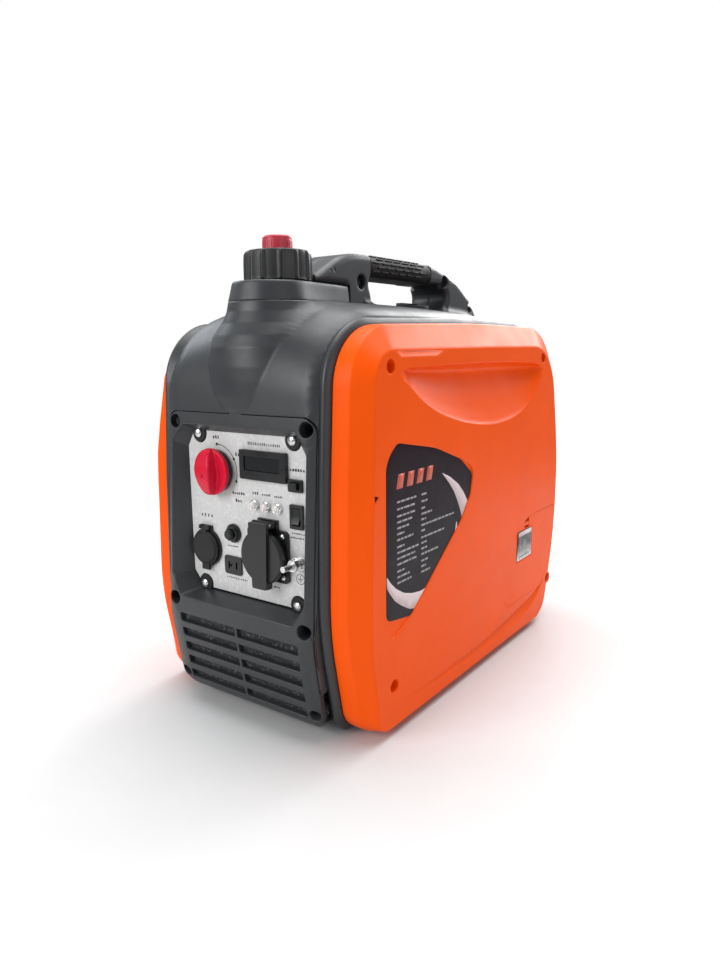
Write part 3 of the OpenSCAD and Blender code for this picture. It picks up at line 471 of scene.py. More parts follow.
def stuff(name, base, rough, metal=0.0, vary=0.06, vary_scale=18, rough_vary=0.06, grain=0.2, grain_scale=1500,
          grain_depth=0.00008, wave=0.0, spec=0.5, coat=0.0, brushed=None, specks=None, wear=None):
    """A procedural finish: colour that drifts a little, roughness in patches, moulded or ground texture."""
    m = bpy.data.materials.new(name)
    m.use_nodes = True
    add = adder(m.node_tree)
    place = add("TexCoord").outputs["Object"]

    def noise(scale, detail, fine, stretch=None):
        at = add("Mapping", {"Vector": place, "Scale": stretch}).outputs["Vector"] if stretch else place
        return add("TexNoise", {"Vector": at, "Scale": scale, "Detail": detail, "Roughness": fine}).outputs["Fac"]

    def span(fac, a, b, lo, hi):
        return add("MapRange", {"Value": fac, "From Min": a, "From Max": b, "To Min": lo,
                                "To Max": hi}).outputs["Result"]

    lo = [c * (1 - vary) for c in base]
    hi = [min(1, c * (1 + vary)) for c in base]
    colour = blend(add, span(noise(vary_scale, 4, 0.55), 0.3, 0.7, 0, 1), lo, hi)
    if specks:
        tint, scale, low, high = specks
        colour = blend(add, span(noise(scale, 2, 0.6), low, high, 0, 1), colour, tint)
    if wear:
        tint, amount = wear
        colour = blend(add, span(noise(160, 6, 0.75), 0.66, 0.72, 0, amount), colour, tint)
    b = {"Metallic": metal, "Specular IOR Level": spec, "Coat Weight": coat, "Coat Roughness": 0.2,
         "Base Color": colour,
         "Roughness": span(noise(vary_scale * 2.3, 3, 0.6), 0.3, 0.7, max(0.02, rough - rough_vary),
                           min(1, rough + rough_vary))}
    if grain:
        b["Normal"] = add("Bump", {"Strength": grain, "Distance": grain_depth,
                                   "Height": noise(grain_scale, 2, 0.5, brushed)}).outputs["Normal"]
    if wave:
        bump = {"Strength": wave, "Distance": 0.0006, "Height": noise(14, 1, 0.4)}
        if grain:
            bump["Normal"] = b["Normal"]
        b["Normal"] = add("Bump", bump).outputs["Normal"]
    feed(m.node_tree, m.node_tree.nodes["Principled BSDF"], b)
    m["finish"] = name
    return m


SMALL = {"vary_scale": 300, "grain_scale": 900}
PRINT = {"rough_vary": 0.08, "grain": 0.1, "grain_scale": 1200}
ORANGE = stuff("orange_moulded", (0.90, 0.090, 0.0006), 0.38, vary=0.03, rough_vary=0.05, grain=0.16, wave=0.05,
               spec=0.12, wear=((0.90, 0.14, 0.01), 0.08))
SHELL = stuff("charcoal_moulded", (0.025, 0.0275, 0.031), 0.42, vary=0.08, grain=0.35, grain_scale=1700, wave=0.08,
              specks=((0.036, 0.039, 0.042), 900, 0.6, 0.75))
BLACK = stuff("black_moulded", (0.0115, 0.012, 0.0135), 0.44, vary=0.1, rough_vary=0.07, grain=0.3, grain_scale=1600)
SATIN = stuff("black_satin", (0.008, 0.0084, 0.0094), 0.3, vary=0.1, grain=0.12, grain_scale=1400)
SOCKET = stuff("socket_black", (0.0095, 0.0098, 0.0105), 0.38, vary=0.1)
RUBBER = stuff("rubber", (0.0105, 0.0105, 0.0112), 0.6, vary=0.12, rough_vary=0.08, grain=0.4, grain_scale=1100,
               spec=0.4)
PLATE = stuff("plate_silver", (0.60, 0.60, 0.595), 0.44, metal=0.12, vary=0.05, vary_scale=34, grain=0.12,
              grain_scale=900, specks=((0.70, 0.70, 0.69), 300, 0.5, 0.7), wear=((0.55, 0.55, 0.545), 0.18))
RED = stuff("knob_red", (0.60, 0.004, 0.030), 0.3, vary=0.04, rough_vary=0.05, grain=0.1, grain_scale=1300, spec=0.25)
VENT = stuff("vent_red", (0.50, 0.022, 0.045), 0.42, grain=0.25, grain_scale=1400)
ZINC = stuff("zinc", (0.68, 0.68, 0.67), 0.28, metal=1.0, vary=0.08, rough_vary=0.1, grain=0.15, **SMALL)
DARKSTEEL = stuff("dark_screw", (0.055, 0.055, 0.058), 0.38, metal=0.8, vary=0.15, rough_vary=0.1, **SMALL)
CHROME = stuff("chrome", (0.83, 0.83, 0.82), 0.12, metal=1.0, vary=0.04, rough_vary=0.05, grain=0.05, **SMALL)
LENS = stuff("lens_smoke", (0.72, 0.66, 0.64), 0.12, vary=0.05, rough_vary=0.04, grain=0.05, spec=0.6, coat=0.5,
             **SMALL)
GLASS = stuff("display", (0.006, 0.007, 0.009), 0.12, vary=0.1, rough_vary=0.05, grain=0.03, grain_scale=900,
              spec=0.6)
INK = stuff("ink_black", (0.02, 0.02, 0.022), 0.5, vary=0.1, vary_scale=200, **PRINT)
INK_GREY = stuff("ink_grey", (0.33, 0.32, 0.33), 0.45, vary=0.08, vary_scale=200, **PRINT)
INK_PINK = stuff("ink_pale", (0.66, 0.55, 0.56), 0.42, vary=0.05, vary_scale=60, **PRINT)
INK_RED = stuff("ink_red", (0.60, 0.10, 0.055), 0.42, vary=0.08, vary_scale=80, **PRINT)
FOAM = stuff("filter_foam", (0.018, 0.0185, 0.0195), 0.8, vary=0.4, vary_scale=260, rough_vary=0.12, grain=0.9,
             grain_scale=700, grain_depth=0.0006, specks=((0.10, 0.105, 0.105), 420, 0.57, 0.66), spec=0.4)
ROPE = stuff("rope", (0.62, 0.62, 0.57), 0.7, vary=0.12, vary_scale=400, rough_vary=0.1, grain=0.5)
NYLON = stuff("nylon", (0.60, 0.59, 0.54), 0.45, rough_vary=0.08)
CAST = stuff("cast_aluminium", (0.50, 0.51, 0.52), 0.46, metal=0.9, vary=0.1, vary_scale=60, rough_vary=0.1,
             grain=0.8, grain_scale=700, grain_depth=0.0003, wear=((0.2, 0.19, 0.18), 0.5))
STEEL = stuff("machined_steel", (0.5, 0.5, 0.51), 0.28, metal=1.0, vary=0.08, vary_scale=120, rough_vary=0.08,
              grain=0.3, grain_scale=500, brushed=(1, 12, 1))
IRON = stuff("iron", (0.12, 0.12, 0.125), 0.55, metal=0.7, vary=0.2, vary_scale=90, rough_vary=0.12, grain=0.6,
             grain_scale=700)
COPPER = stuff("copper", (0.52, 0.22, 0.10), 0.36, metal=0.9, vary=0.15, vary_scale=120, rough_vary=0.1, grain=0.6,
               grain_scale=500, brushed=(1, 1, 9))
CERAMIC = stuff("ceramic", (0.72, 0.71, 0.67), 0.25, vary=0.04, grain=0.1)
EXHAUST = stuff("exhaust", (0.30, 0.27, 0.24), 0.48, metal=0.9, vary=0.22, vary_scale=30, rough_vary=0.14, grain=0.5,
                grain_scale=600, wear=((0.2, 0.11, 0.06), 0.6))
TANK = stuff("tank_plastic", (0.02, 0.02, 0.022), 0.5, vary=0.12, rough_vary=0.08, grain=0.3)


def rising_film(m, low, high, foot, head, noise_in, combine):
    """A film whose colour goes from foot to head between two heights (in metres), broken up by noise."""
    add = adder(m.node_tree)
    place = add("TexCoord").outputs["Object"]
    z = add("SeparateXYZ", {0: place}).outputs["Z"]
    share = add("MapRange", {"Value": z, "From Min": low, "From Max": high}).outputs["Result"]
    noise = add("TexNoise", {"Vector": place, **noise_in}).outputs["Fac"]
    feed(m.node_tree, m.node_tree.nodes["Principled BSDF"], {"Base Color": combine(add, share, noise, foot, head)})
    return m


def overlaid(add, share, noise, foot, head):
    return blend(add, 0.25, blend(add, share, foot, head), noise, "OVERLAY")


def shifted(add, share, noise, foot, head):
    centred = add("Math", {0: noise, 1: 0.5}, operation="SUBTRACT").outputs[0]
    return blend(add, add("Math", {0: share, 1: centred}, operation="ADD").outputs[0], foot, head)


# The large film: purple black at the top, charcoal below
DECAL = rising_film(stuff("decal_film", (0.02, 0.015, 0.02), 0.45, vary=0.1, vary_scale=50, rough_vary=0.05,
                          grain=0.08, grain_scale=1200, spec=0.12),
                    0.13, 0.235, (0.022, 0.022, 0.026), (0.016, 0.007, 0.013), {"Scale": 60}, overlaid)
# The small metallic label: bright at its foot, black towards the top
INFO = rising_film(stuff("info_film", (0.5, 0.5, 0.5), 0.3, metal=0.5, vary=0.1, vary_scale=80, grain=0.1),
                   0.094, 0.112, (0.52, 0.52, 0.53), (0.025, 0.026, 0.03), {"Scale": 90, "Detail": 5}, shifted)


# ---------------------------------------------------------------- the black housing
SHELL_OUTLINE = [[-216, 6.5, 24], [-231, 90, 150], [-220, 262, 700], [-212, 370, 80],
                 [0, 372, 3000], [206, 362, 90], [229, 150, 600], [208, 7, 30]]


class Profile:
    """The side view of the housing as one line, measured along its length; near the front, s equals z."""

    def __init__(self):
        p = outline(SHELL_OUTLINE, n=40, step=1.0)
        if winding(p) > 0:
            p = p[::-1]
        start = int(np.argmin(np.abs(p[:, 0] - 0) + np.where(p[:, 1] < 100, 0, 1e6)))
        p = np.roll(p, -start, 0)
        if p[5, 0] > p[0, 0]:
            p = np.roll(p[::-1], 1, 0)
        seg = np.linalg.norm(np.roll(p, -1, 0) - p, axis=1)
        s = np.concatenate([[0], np.cumsum(seg)])
        p = np.vstack([p, p[:1]])
        k = int(np.argmin(np.where(p[:, 0] < 0, np.abs(p[:, 1] - 150), 1e6)))
        self.s = s - s[k] + p[k, 1]
        t = np.gradient(p, self.s, axis=0)
        for _ in range(6):
            t[1:-1] = (t[:-2] + 2 * t[1:-1] + t[2:]) / 4
        t /= np.linalg.norm(t, axis=1)[:, None]
        self.p, self.n = p, np.stack([-t[:, 1], t[:, 0]], 1)

    def at(self, s):
        return np.stack([np.interp(s, self.s, self.p[:, k]) for k in range(2)], 1)

    def normal(self, s):
        n = np.stack([np.interp(s, self.s, self.n[:, k]) for k in range(2)], 1)
        return n / np.linalg.norm(n, axis=1)[:, None]

    def find(self, y=None, z=None, where=None):
        """The s of the profile point nearest to (y, z)."""
        d = np.zeros(len(self.p))
        if y is not None:
            d += (self.p[:, 0] - y) ** 2
        if z is not None:
            d += (self.p[:, 1] - z) ** 2
        if where is not None:
            d += np.where(where(self.p), 0, 1e9)
        return float(self.s[int(np.argmin(d))])


PROFILE = Profile()


def drop(x):
    """How far the crown of the housing has fallen at x from its middle."""
    return 280 - np.sqrt(280 ** 2 - np.minimum(np.abs(x), 120) ** 2)


def widen(x):
    """The left edge of the housing stands a little further out than the right one."""
    return x - 4.8 * ease((-x - 77) / 11)


def lay_shell(p):
    """Sheet coordinates (x, s, height) to the housing's curved surface."""
    x, s, h = p[:, 0], p[:, 1], p[:, 2]
    c, n = PROFILE.at(s), PROFILE.normal(s)
    edge = np.maximum(np.abs(x) - (SHELL_HW - 10), 0)
    roll = 10 - np.sqrt(np.maximum(100 - edge ** 2, 0))
    off = h - drop(x) * np.maximum(n[:, 1], 0) - roll * (0.3 + 0.65 * np.abs(n[:, 0]))
    y, z = c[:, 0] + n[:, 0] * off, c[:, 1] + n[:, 1] * off
    low = np.clip(22 - c[:, 1], 0, 14)
    w = SHELL_HW - (14 - np.sqrt(14 ** 2 - low ** 2)) * 0.9
    return np.stack([widen(x) * w / SHELL_HW, y, z], 1)


S_TOP_FRONT = PROFILE.find(y=-219, z=FRAME_TOP)
S_TOP_REAR = PROFILE.find(y=219, z=FRAME_TOP)
S_BOTTOM_FRONT = PROFILE.find(y=-186, z=7)
S_LOW_REAR = PROFILE.find(y=219, z=45)
S_BOTTOM_REAR = PROFILE.find(y=190, z=7)
if S_BOTTOM_REAR < S_TOP_REAR:
    S_BOTTOM_REAR += PROFILE.s[-1] - PROFILE.s[0]
SOFT = [(-1.2, 0), (-0.8, -0.06), (-0.45, -0.22), (-0.18, -0.5), (0, -0.95), (0, -1.6), (0, -6.5)]
FINE = [(-0.6, 0), (-0.35, -0.06), (-0.12, -0.22), (0, -0.5), (0, -1.2), (0, -5.0)]


def s_at_y(y):
    return PROFILE.find(y=y, where=lambda p: p[:, 1] > 340)


def top_shell():
    """Top and sides of the housing, with openings for the filler and the spark plug lid."""
    k = Skin(lay_shell)
    w, v = SHELL_HW, FRAME_HW + 0.3
    top, rear = S_TOP_FRONT + 0.3, S_TOP_REAR - 0.3
    low, back = 44.0, S_LOW_REAR
    edge = [[-w, low, 1.2], [-w, back, 1.2], [-v, back, 1.2], [-v, rear, 12], [v, rear, 12], [v, back, 1.2],
            [w, back, 1.2], [w, low, 1.2], [v, low, 1.2], [v, top, 12], [-v, top, 12], [-v, low, 1.2]]
    base = outline(grow(edge, -1.2), n=8, step=5.0)
    inner = k.ribbon([k.loop(offset(base, 1.2 + d), h) for d, h in SOFT])[0]
    holes = []
    for y, r, deep in ((CAP_Y, 27.5, 5), (LID_Y, 24.7, 6.2)):
        c = circle(0, s_at_y(y), r, 64)
        first, last = k.rim(c, [(0.6, 0), (0.3, -0.1), (0.08, -0.35), (0, -0.8), (0, -deep)])
        holes.append(first)
        ring = k.loop(offset(c, -3), -deep)
        k.strip(last, ring)
        if y == LID_Y:
            k.strip(ring, k.loop(offset(c, -3.01), -deep - 8))
    k.fill(inner, holes, spacing=(7.0, 5.0))
    return skin_piece("top_shell_skin", k, SHELL, "housing", "charcoal_plastic", "top_shell")


RECESS = [[-80.5, 126, 5], [-79, 250, 8], [-66, 264, 6], [66, 264, 6], [77, 250, 8], [77, 124, 5], [66, 106.3, 5],
          [-69.5, 106.3, 5]]
PLATE_EDGE = [[-71.5, 126, 3], [-71, 243, 3], [-62, 259, 3], [60, 259, 3], [69, 243, 3], [68, 126, 3], [59, 112, 3],
              [-60, 112, 3]]
FRAME_HOLES = [[-76.2, 266.4, 6.3], [76.2, 266.4, 6.3], [-77.2, 103, 6.3], [77.2, 103, 6.3], [-78.4, 25, 5.2],
               [78.4, 25, 5.2]]


def deep_hole(k, x, s, r, deep, n=36, lip=0.9):
    """A screw well with a rounded mouth; returns its outer row."""
    c = circle(x, s, r, n)
    first, last = k.rim(c, [(lip, 0), (lip * 0.55, -0.08), (lip * 0.2, -0.35), (0, -0.9), (0, -3)])
    floor = offset(c, -0.3)
    row = k.loop(floor, -deep if np.isscalar(deep) else deep(floor))
    k.strip(last, row)
    if np.isscalar(deep):
        k.cap(row)
    return first


def to_plane(y, s):
    """The sheet height that brings a point at s on the housing to the plane y."""
    c, n = PROFILE.at(s), PROFILE.normal(s)
    return (y - c[:, 0]) / n[:, 0]


def frame_edge(k, low, top):
    """The rounded outer edge of a frame; returns its inner row."""
    w = FRAME_HW
    base = outline(grow([[-w, low, 1.2], [-w, top, 12], [w, top, 12], [w, low, 1.2]], -0.6), n=8, step=5.0)
    return k.ribbon([k.loop(offset(base, 0.6 + d), h) for d, h in FINE])[0]


def front_frame():
    """The front insert: panel recess, screw wells and louvres."""
    k = Skin(lay_shell)
    inner = frame_edge(k, S_BOTTOM_FRONT, S_TOP_FRONT - 0.1)
    mouth = outline(RECESS, n=6, runs=12)
    first, last = k.rim(mouth, [(1.6, 0), (1.1, -0.08), (0.6, -0.35), (0.2, -0.85), (0, -1.6)])
    holes = [first]
    seat = outline(PLATE_EDGE, n=6, runs=12)
    rows = [last]
    for t in (0.25, 0.5, 0.75, 0.93, 0.985, 1.0):
        uv = mouth + (seat - mouth) * min(1, t * 1.02)
        rows.append(k.loop(np.column_stack([uv, -1.6 + (to_plane(PLATE_Y, seat[:, 1]) + 1.6) * t])))
    rows.append(k.loop(np.column_stack([offset(seat, -0.05), to_plane(PLATE_Y + 2.5, seat[:, 1])])))
    k.ribbon(rows)
    for x, z, r in FRAME_HOLES:
        holes.append(deep_hole(k, x, z, r, lambda g: to_plane(FRONT_SCREW_Y, g[:, 1])))
    for line in range(5):
        for side in (-1, 1):
            z = 25.5 + line * 15
            c = outline(rect(side * 36.2 - 34.8, z - 4.2, side * 36.2 + 34.8, z + 4.2, 1.5), n=4, step=6)
            first, last = k.rim(c, [(0.7, 0), (0.48, -0.06), (0.22, -0.22), (0.05, -0.5), (0, -0.9)])
            holes.append(first)
            k.strip(last, k.loop(offset(c, -0.15), -7))
    k.fill(inner, holes, spacing=(8.0, 6.0))
    return skin_piece("front_frame_skin", k, SHELL, "housing", "black_plastic", "front_frame")


def rear_s(z):
    return PROFILE.find(z=z, where=lambda p: p[:, 0] > 150)


def rear_frame():
    """The rear insert: screw wells, exhaust louvres and the tailpipe opening."""
    k = Skin(lay_shell)
    inner = frame_edge(k, S_BOTTOM_REAR, S_TOP_REAR + 0.1)
    holes = []
    for x, z, _ in FRAME_HOLES:
        holes.append(deep_hole(k, x, rear_s(z + (12 if z < 60 else 0)), 5.5,
                               lambda g: to_plane(REAR_SCREW_Y, g[:, 1])))
    for z in range(70, 169, 14):
        s = rear_s(z + 3.5)
        c = outline(rect(-62, s - 3.5, 62, s + 3.5, 2.6), n=5, step=6)
        first, last = k.rim(c, [(1.1, 0), (0.75, -0.07), (0.35, -0.3), (0.08, -0.7), (0, -1.2)])
        holes.append(first)
        row = k.loop(offset(c, -0.5), -8)
        k.strip(last, row)
        k.cap(row)
    c = circle(36, rear_s(214), 21, 64)
    first, last = k.rim(c, [(1.4, 0), (0.95, -0.08), (0.45, -0.35), (0.1, -0.85), (0, -1.5), (-1.2, -7), (-2.2, -8)])
    holes.append(first)
    k.strip(last, k.loop(circle(36, rear_s(214), 14.6, 64), -8))
    k.fill(inner, holes, spacing=(8.0, 6.0))
    return skin_piece("rear_frame_skin", k, SHELL, "housing", "black_plastic", "rear_frame")


def grid_noise(pts, size, seed):
    """Smooth value noise on a plane, in cells of the given size."""
    r = np.random.default_rng(seed).random((64, 64))
    a, b = pts[:, 0] / size, pts[:, 1] / size
    i, j = np.floor(a).astype(int), np.floor(b).astype(int)
    fa, fb = ease(a - i), ease(b - j)

    def cell(m, n):
        return r[(i + m) % 64, (j + n) % 64]

    return (cell(0, 0) * (1 - fa) * (1 - fb) + cell(1, 0) * fa * (1 - fb) + cell(0, 1) * (1 - fa) * fb
            + cell(1, 1) * fa * fb)


def intake_foam():
    """Open-cell foam behind the louvres."""
    xs, ss = np.arange(-73.0, 73.1, 1.25), np.arange(19.5, 91.6, 1.25)
    g = np.stack(np.meshgrid(xs, ss, indexing="ij"), -1).reshape(-1, 2)
    k = Skin(lay_shell)
    front = k.loop(g, -4.4 + 1.1 * (grid_noise(g, 2.2, 3) - 0.5) + 1.0 * (grid_noise(g, 1.3, 5) - 0.5))
    ring = k.net(front.reshape(len(xs), len(ss)))
    back = k.loop(g[ring], -11.0)
    k.strip(ring, back)
    k.cap(back)
    return put(mesh("intake_foam", k.points(), k.faces, FOAM), "housing", "black_plastic")


# ---------------------------------------------------------------- side covers
COVER_OUTLINE = [[-196, 5, 28], [-215, 100, 260], [-211, 215, 700], [-203, 346, 52],
                 [0, 350, 2500], [194, 347, 72], [217, 150, 480], [182, 5, 42]]
FACE_OUTLINE = [[-190, 9, 16], [-202, 100, 300], [-197, 215, 700], [-192, 327, 26],
                [0, 327.5, 2500], [162, 327, 62], [202, 150, 360], [160, 9, 30]]
COVER_HOLES = [[-172, 314], [138, 315], [-169, 46], [172, 49.6]]
DECAL_RECESS = [[-181, 83, 12], [-180.5, 240, 26], [-163, 253, 10], [-102, 242, 120], [-55, 226, 40],
                [-30, 214, 12], [-36, 188, 14], [-54, 167, 60], [-140, 102, 30]]
DOOR_OUTLINE = [[75, 128, 5], [60, 99.5, 40], [47, 57, 9], [56, 46.6, 9], [150, 46.6, 12],
                [166, 66, 40], [184, 104, 40], [188, 139, 6], [112, 139, 30]]


def crown(y, z):
    """The cover's face is very slightly domed."""
    return 1.1 * np.clip(1 - (y / 200) ** 2, 0, 1) * np.clip(1 - ((z - 168) / 160) ** 2, 0, 1) - 0.25


def lay_cover(p):
    y, z, h = p[:, 0], p[:, 1], p[:, 2]
    return np.stack([COVER_END + crown(y, z) + h, y, z], 1)


def lay_left(p):
    """The left cover: it starts further out, and its upper front corner sits further back."""
    q = lay_cover(p)
    q[:, 0] = -q[:, 0] - 1.6 - 3.2 * np.clip((COVER_END - q[:, 0]) / 32, 0, 1)
    q[:, 1] += np.interp(q[:, 2], [235, 262, 303, 318, 346], [0, 3, 9, 17, 27]) * ease((-q[:, 1] - 150) / 60)
    return q


POCKET_TOP = np.array([[-158.5, 309.4], [-150, 311.4], [-120, 312.8], [-60, 313.8], [0, 314.2], [60, 313.4],
                       [98, 311.6], [116, 309.8],
                       [128, 307.4], [137, 303.5]])
POCKET_LOW = np.array([[-158.5, 304.6], [-150, 300.5], [-130, 287.5], [-104, 274.5], [-72, 264.5], [-40, 257.2],
                       [-5, 252.8],
                       [30, 251.8], [68, 256.2], [96, 265.5], [116, 278], [129, 290.5], [135, 298], [137, 301]])
POCKET_START, POCKET_END = -158.5, 137.0
POCKET_DEEP = np.array([[0, 0], [0.012, -0.25], [0.028, -1.6], [0.05, -6.5], [0.075, -10.8], [0.105, -13.4],
                        [0.14, -14.7],
                        [0.18, -15.0], [0.23, -14.7], [0.29, -14.0], [0.36, -13.0], [0.44, -11.8], [0.76, -6.2],
                        [0.935, -2.4], [0.965, -1.45], [0.985, -0.55], [1, 0]])


def smooth_line(pts, t):
    """A smooth line through points, read at x = t."""
    pts = np.asarray(pts)
    m = np.gradient(pts[:, 1], pts[:, 0])
    i = np.clip(np.searchsorted(pts[:, 0], t) - 1, 0, len(pts) - 2)
    x0, x1 = pts[i, 0], pts[i + 1, 0]
    h = x1 - x0
    u = np.clip((t - x0) / h, 0, 1)
    return ((2 * u ** 3 - 3 * u ** 2 + 1) * pts[i, 1] + (u ** 3 - 2 * u ** 2 + u) * h * m[i]
            + (-2 * u ** 3 + 3 * u ** 2) * pts[i + 1, 1] + (u ** 3 - u ** 2) * h * m[i + 1])


def soft_ends(n, share):
    """n steps from 0 to 1, closer together near both ends."""
    u = np.linspace(0, 1, n)
    return (1 - share) * u + share * (0.5 - 0.5 * np.cos(u * math.pi))


def hollow(k, y, top, low, across, deep):
    """A hollow between two lines over y, `deep` at each share `across` from top to low. Returns its outer row."""
    z = top[:, None] + (low - top)[:, None] * across
    pts = np.stack([np.repeat(y, len(across)), z.ravel(), deep.ravel()], 1)
    return k.net(k.loop(pts).reshape(len(y), len(across)))


def finger_pocket(k):
    """The finger pocket below the top edge: under a lip, running out below. Returns its outer row."""
    y = POCKET_START + (POCKET_END - POCKET_START) * soft_ends(110, 0.35)
    top, low = smooth_line(POCKET_TOP, y), smooth_line(POCKET_LOW, y)
    end = ease(np.minimum((y - POCKET_START) / 22, (POCKET_END - y) / 14))
    size = end * np.minimum(1, 0.25 + 0.8 * (top - low) / 60)
    across = np.sort(np.append(POCKET_DEEP[:, 0], [0.52, 0.6, 0.68, 0.83, 0.89]))
    return hollow(k, y, top, low, across, size[:, None] * np.interp(across, *POCKET_DEEP.T))


WEDGE_TOP = np.array([[-151, 26.9], [-80, 26.4], [4.6, 28], [70, 34.5], [136, 44.5], [150, 49.6], [157, 50.6]])
WEDGE_LOW = np.array([[-151, 26.1], [-80, 20.5], [5, 16.8], [60, 18.6], [108, 24.5], [140, 36.5], [157, 49.4]])


def bottom_wedge(k):
    """The facet along the foot of the face, cut in below a crisp edge. Returns its outer row."""
    y = -151 + 308 * soft_ends(90, 0.4)
    top, low = smooth_line(WEDGE_TOP, y), smooth_line(WEDGE_LOW, y)
    across = np.array([0, 0.02, 0.05, 0.09, 0.2, 0.4, 0.6, 0.8, 0.92, 0.97, 1.0])
    deep = np.array([0, -0.3, -0.92, -1.0, -0.93, -0.72, -0.5, -0.25, -0.09, -0.02, 0])
    return hollow(k, y, top, low, across, np.clip((top - low) * 0.3, 0.2, 5.2)[:, None] * deep)


def curve(t, a, b, c):
    """A point of the quadratic curve from a to c that bends towards b."""
    return (1 - t) ** 2 * np.array(a) + 2 * t * (1 - t) * np.array(b) + t * t * np.array(c)


def cover_skin(k, extra):
    """The bands and the main face of a side cover."""
    a, c = outline(COVER_OUTLINE, n=14, runs=8), outline(FACE_OUTLINE, n=14, runs=8)
    face = 1.09    # share of the way from the outer outline to the face outline where the face begins

    def at(w, x, out=0.0):
        p = a + (c - a) * w
        if out:
            p = offset(p, out)
        return k.loop(np.column_stack([p, COVER_X + x - COVER_END - crown(p[:, 0], p[:, 1])]))

    rows = [at(0, x, out) for x, out in ((0.2, -3.0), (0, -2.6), (0, -0.6), (0.15, -0.18), (0.6, 0), (4, 0.25),
                                         (9, 0.4),
                                         (13.2, 0.25))]
    for t in (0, 0.2, 0.4, 0.6, 0.8, 1):
        rows.append(at(*curve(t, (0, 15.7), (0, 17.0), (0.08, 18.1)), 0.25 * (1 - t)))
    rows += [at(w, x) for w, x in ((0.25, 20.6), (0.42, 23.1), (0.58, 25.5), (0.75, 28.1))]
    rows += [at(*curve(t, (0.91, 30.6), (1.0, 32.0), (face, 31.88))) for t in (0, 0.17, 0.34, 0.5, 0.67, 0.84)]
    rows.append(k.loop(a + (c - a) * face))
    k.ribbon(rows)
    holes = [finger_pocket(k), bottom_wedge(k)]
    holes += [deep_hole(k, y, z, 5.7, 23.6, lip=1.0) for y, z in COVER_HOLES]
    k.fill(rows[-1], holes + extra(k), spacing=9.0)


def right_details(k):
    """The sunk field of the decal and the opening of the service door."""
    edge = outline(DECAL_RECESS, n=8, step=7)
    first, last = k.rim(edge, [(0.7, 0), (0.42, -0.07), (0.16, -0.25), (0, -0.6), (-0.05, -1.1), (-0.25, -1.45),
                               (-0.7, DECAL_H)])
    k.fill(last, [], spacing=12.0, height=DECAL_H)
    door = outline(grow(DOOR_OUTLINE, 0.35), n=8, step=7)
    opening = k.rim(door, [(0.55, 0), (0.32, -0.06), (0.12, -0.22), (0, -0.5), (0, -4.1), (-3.0, -4.1),
                           (-3.2, -5.6)])[0]
    return [first, opening]


def right_cover():
    k = Skin(lay_cover)
    cover_skin(k, right_details)
    return skin_piece("right_cover_skin", k, ORANGE, "housing", "orange_plastic", "right_cover")


def left_details(k):
    """The pocket of the starter grip."""
    y, z = STARTER
    edge = outline(rect(y - 48, z - 20, y + 48, z + 20, 12), n=8, step=7)
    first, last = k.rim(edge, [(1.6, 0), (1.1, -0.1), (0.55, -0.45), (0.15, -1.0), (0, -1.8), (-0.4, -12),
                               (-0.8, -21), (-1.6, -23.2), (-3.5, -24)])
    hole = circle(y, z, 5, 32)
    eye = k.rim(hole, [(0.8, -24), (0.3, -24.2), (0, -24.7), (0, -28)])[0]
    k.fill(last, [eye], spacing=14.0, height=-24.0)
    return [first]


def left_cover():
    k = Skin(lay_left)
    cover_skin(k, left_details)
    return skin_piece("left_cover_skin", k, ORANGE, "housing", "orange_plastic", "left_cover")


# ---------------------------------------------------------------- filler neck, collar and handle
FLAT_SHELL = Flat(outline(SHELL_OUTLINE, n=24, step=4.0), (-240, 240), (240, 400), 0.7)


def shell_distance(p, flat):
    """About how far each point is outside the housing."""
    y, z = p[:, 1], p[:, 2]
    d = flat(y, z)
    nz = (flat(y, z + 0.6) - flat(y, z - 0.6)) / 1.2
    return d + drop(p[:, 0]) * np.clip(nz, 0, 1)


NECK_Z = [268, 276, 279, 290, 302, 314, 330, 340, 350, 360, 369, 390]
NECK_R = [54, 54, 54, 68, 75, 70, 58, 54, 44, 38.6, 36.3, 36.3]
NECK_FRONT = [-216, -218.4, -219.9, -221.6, -222.4, -222.6, -221.5, -217.5, -212, -208, -206.3, -206.3]
NECK_B = [44, 44, 44, 44, 44, 44, 43, 42, 39, 37.2, 36.3, 36.3]


def neck_distance(p):
    """The filler neck: round under the collar, a tapering tongue down the front of the housing."""
    x, y, z = p[:, 0], p[:, 1], p[:, 2]
    b = np.interp(z, NECK_Z, NECK_B)
    r = np.interp(z, NECK_Z, NECK_R)
    front = np.interp(z, NECK_Z, NECK_FRONT)
    a = np.sqrt(r * b)
    u, v = x / a, (y - front - b) / b
    q = np.sqrt(u * u + v * v)
    g = np.sqrt((u / a) ** 2 + (v / b) ** 2) / np.maximum(q, 1e-6)
    ell = (q - 1) / np.maximum(g, 1e-6)
    # Behind the widest point the sides run back, narrowing towards the handle
    back = np.clip((y + 170) / 82, 0, 1)
    side = np.abs(x) - (36.3 - 11.3 * back)
    block = np.maximum(np.maximum(side * 0.99, -172 - y), y - 10)
    return smin(ell, block, 3.0)


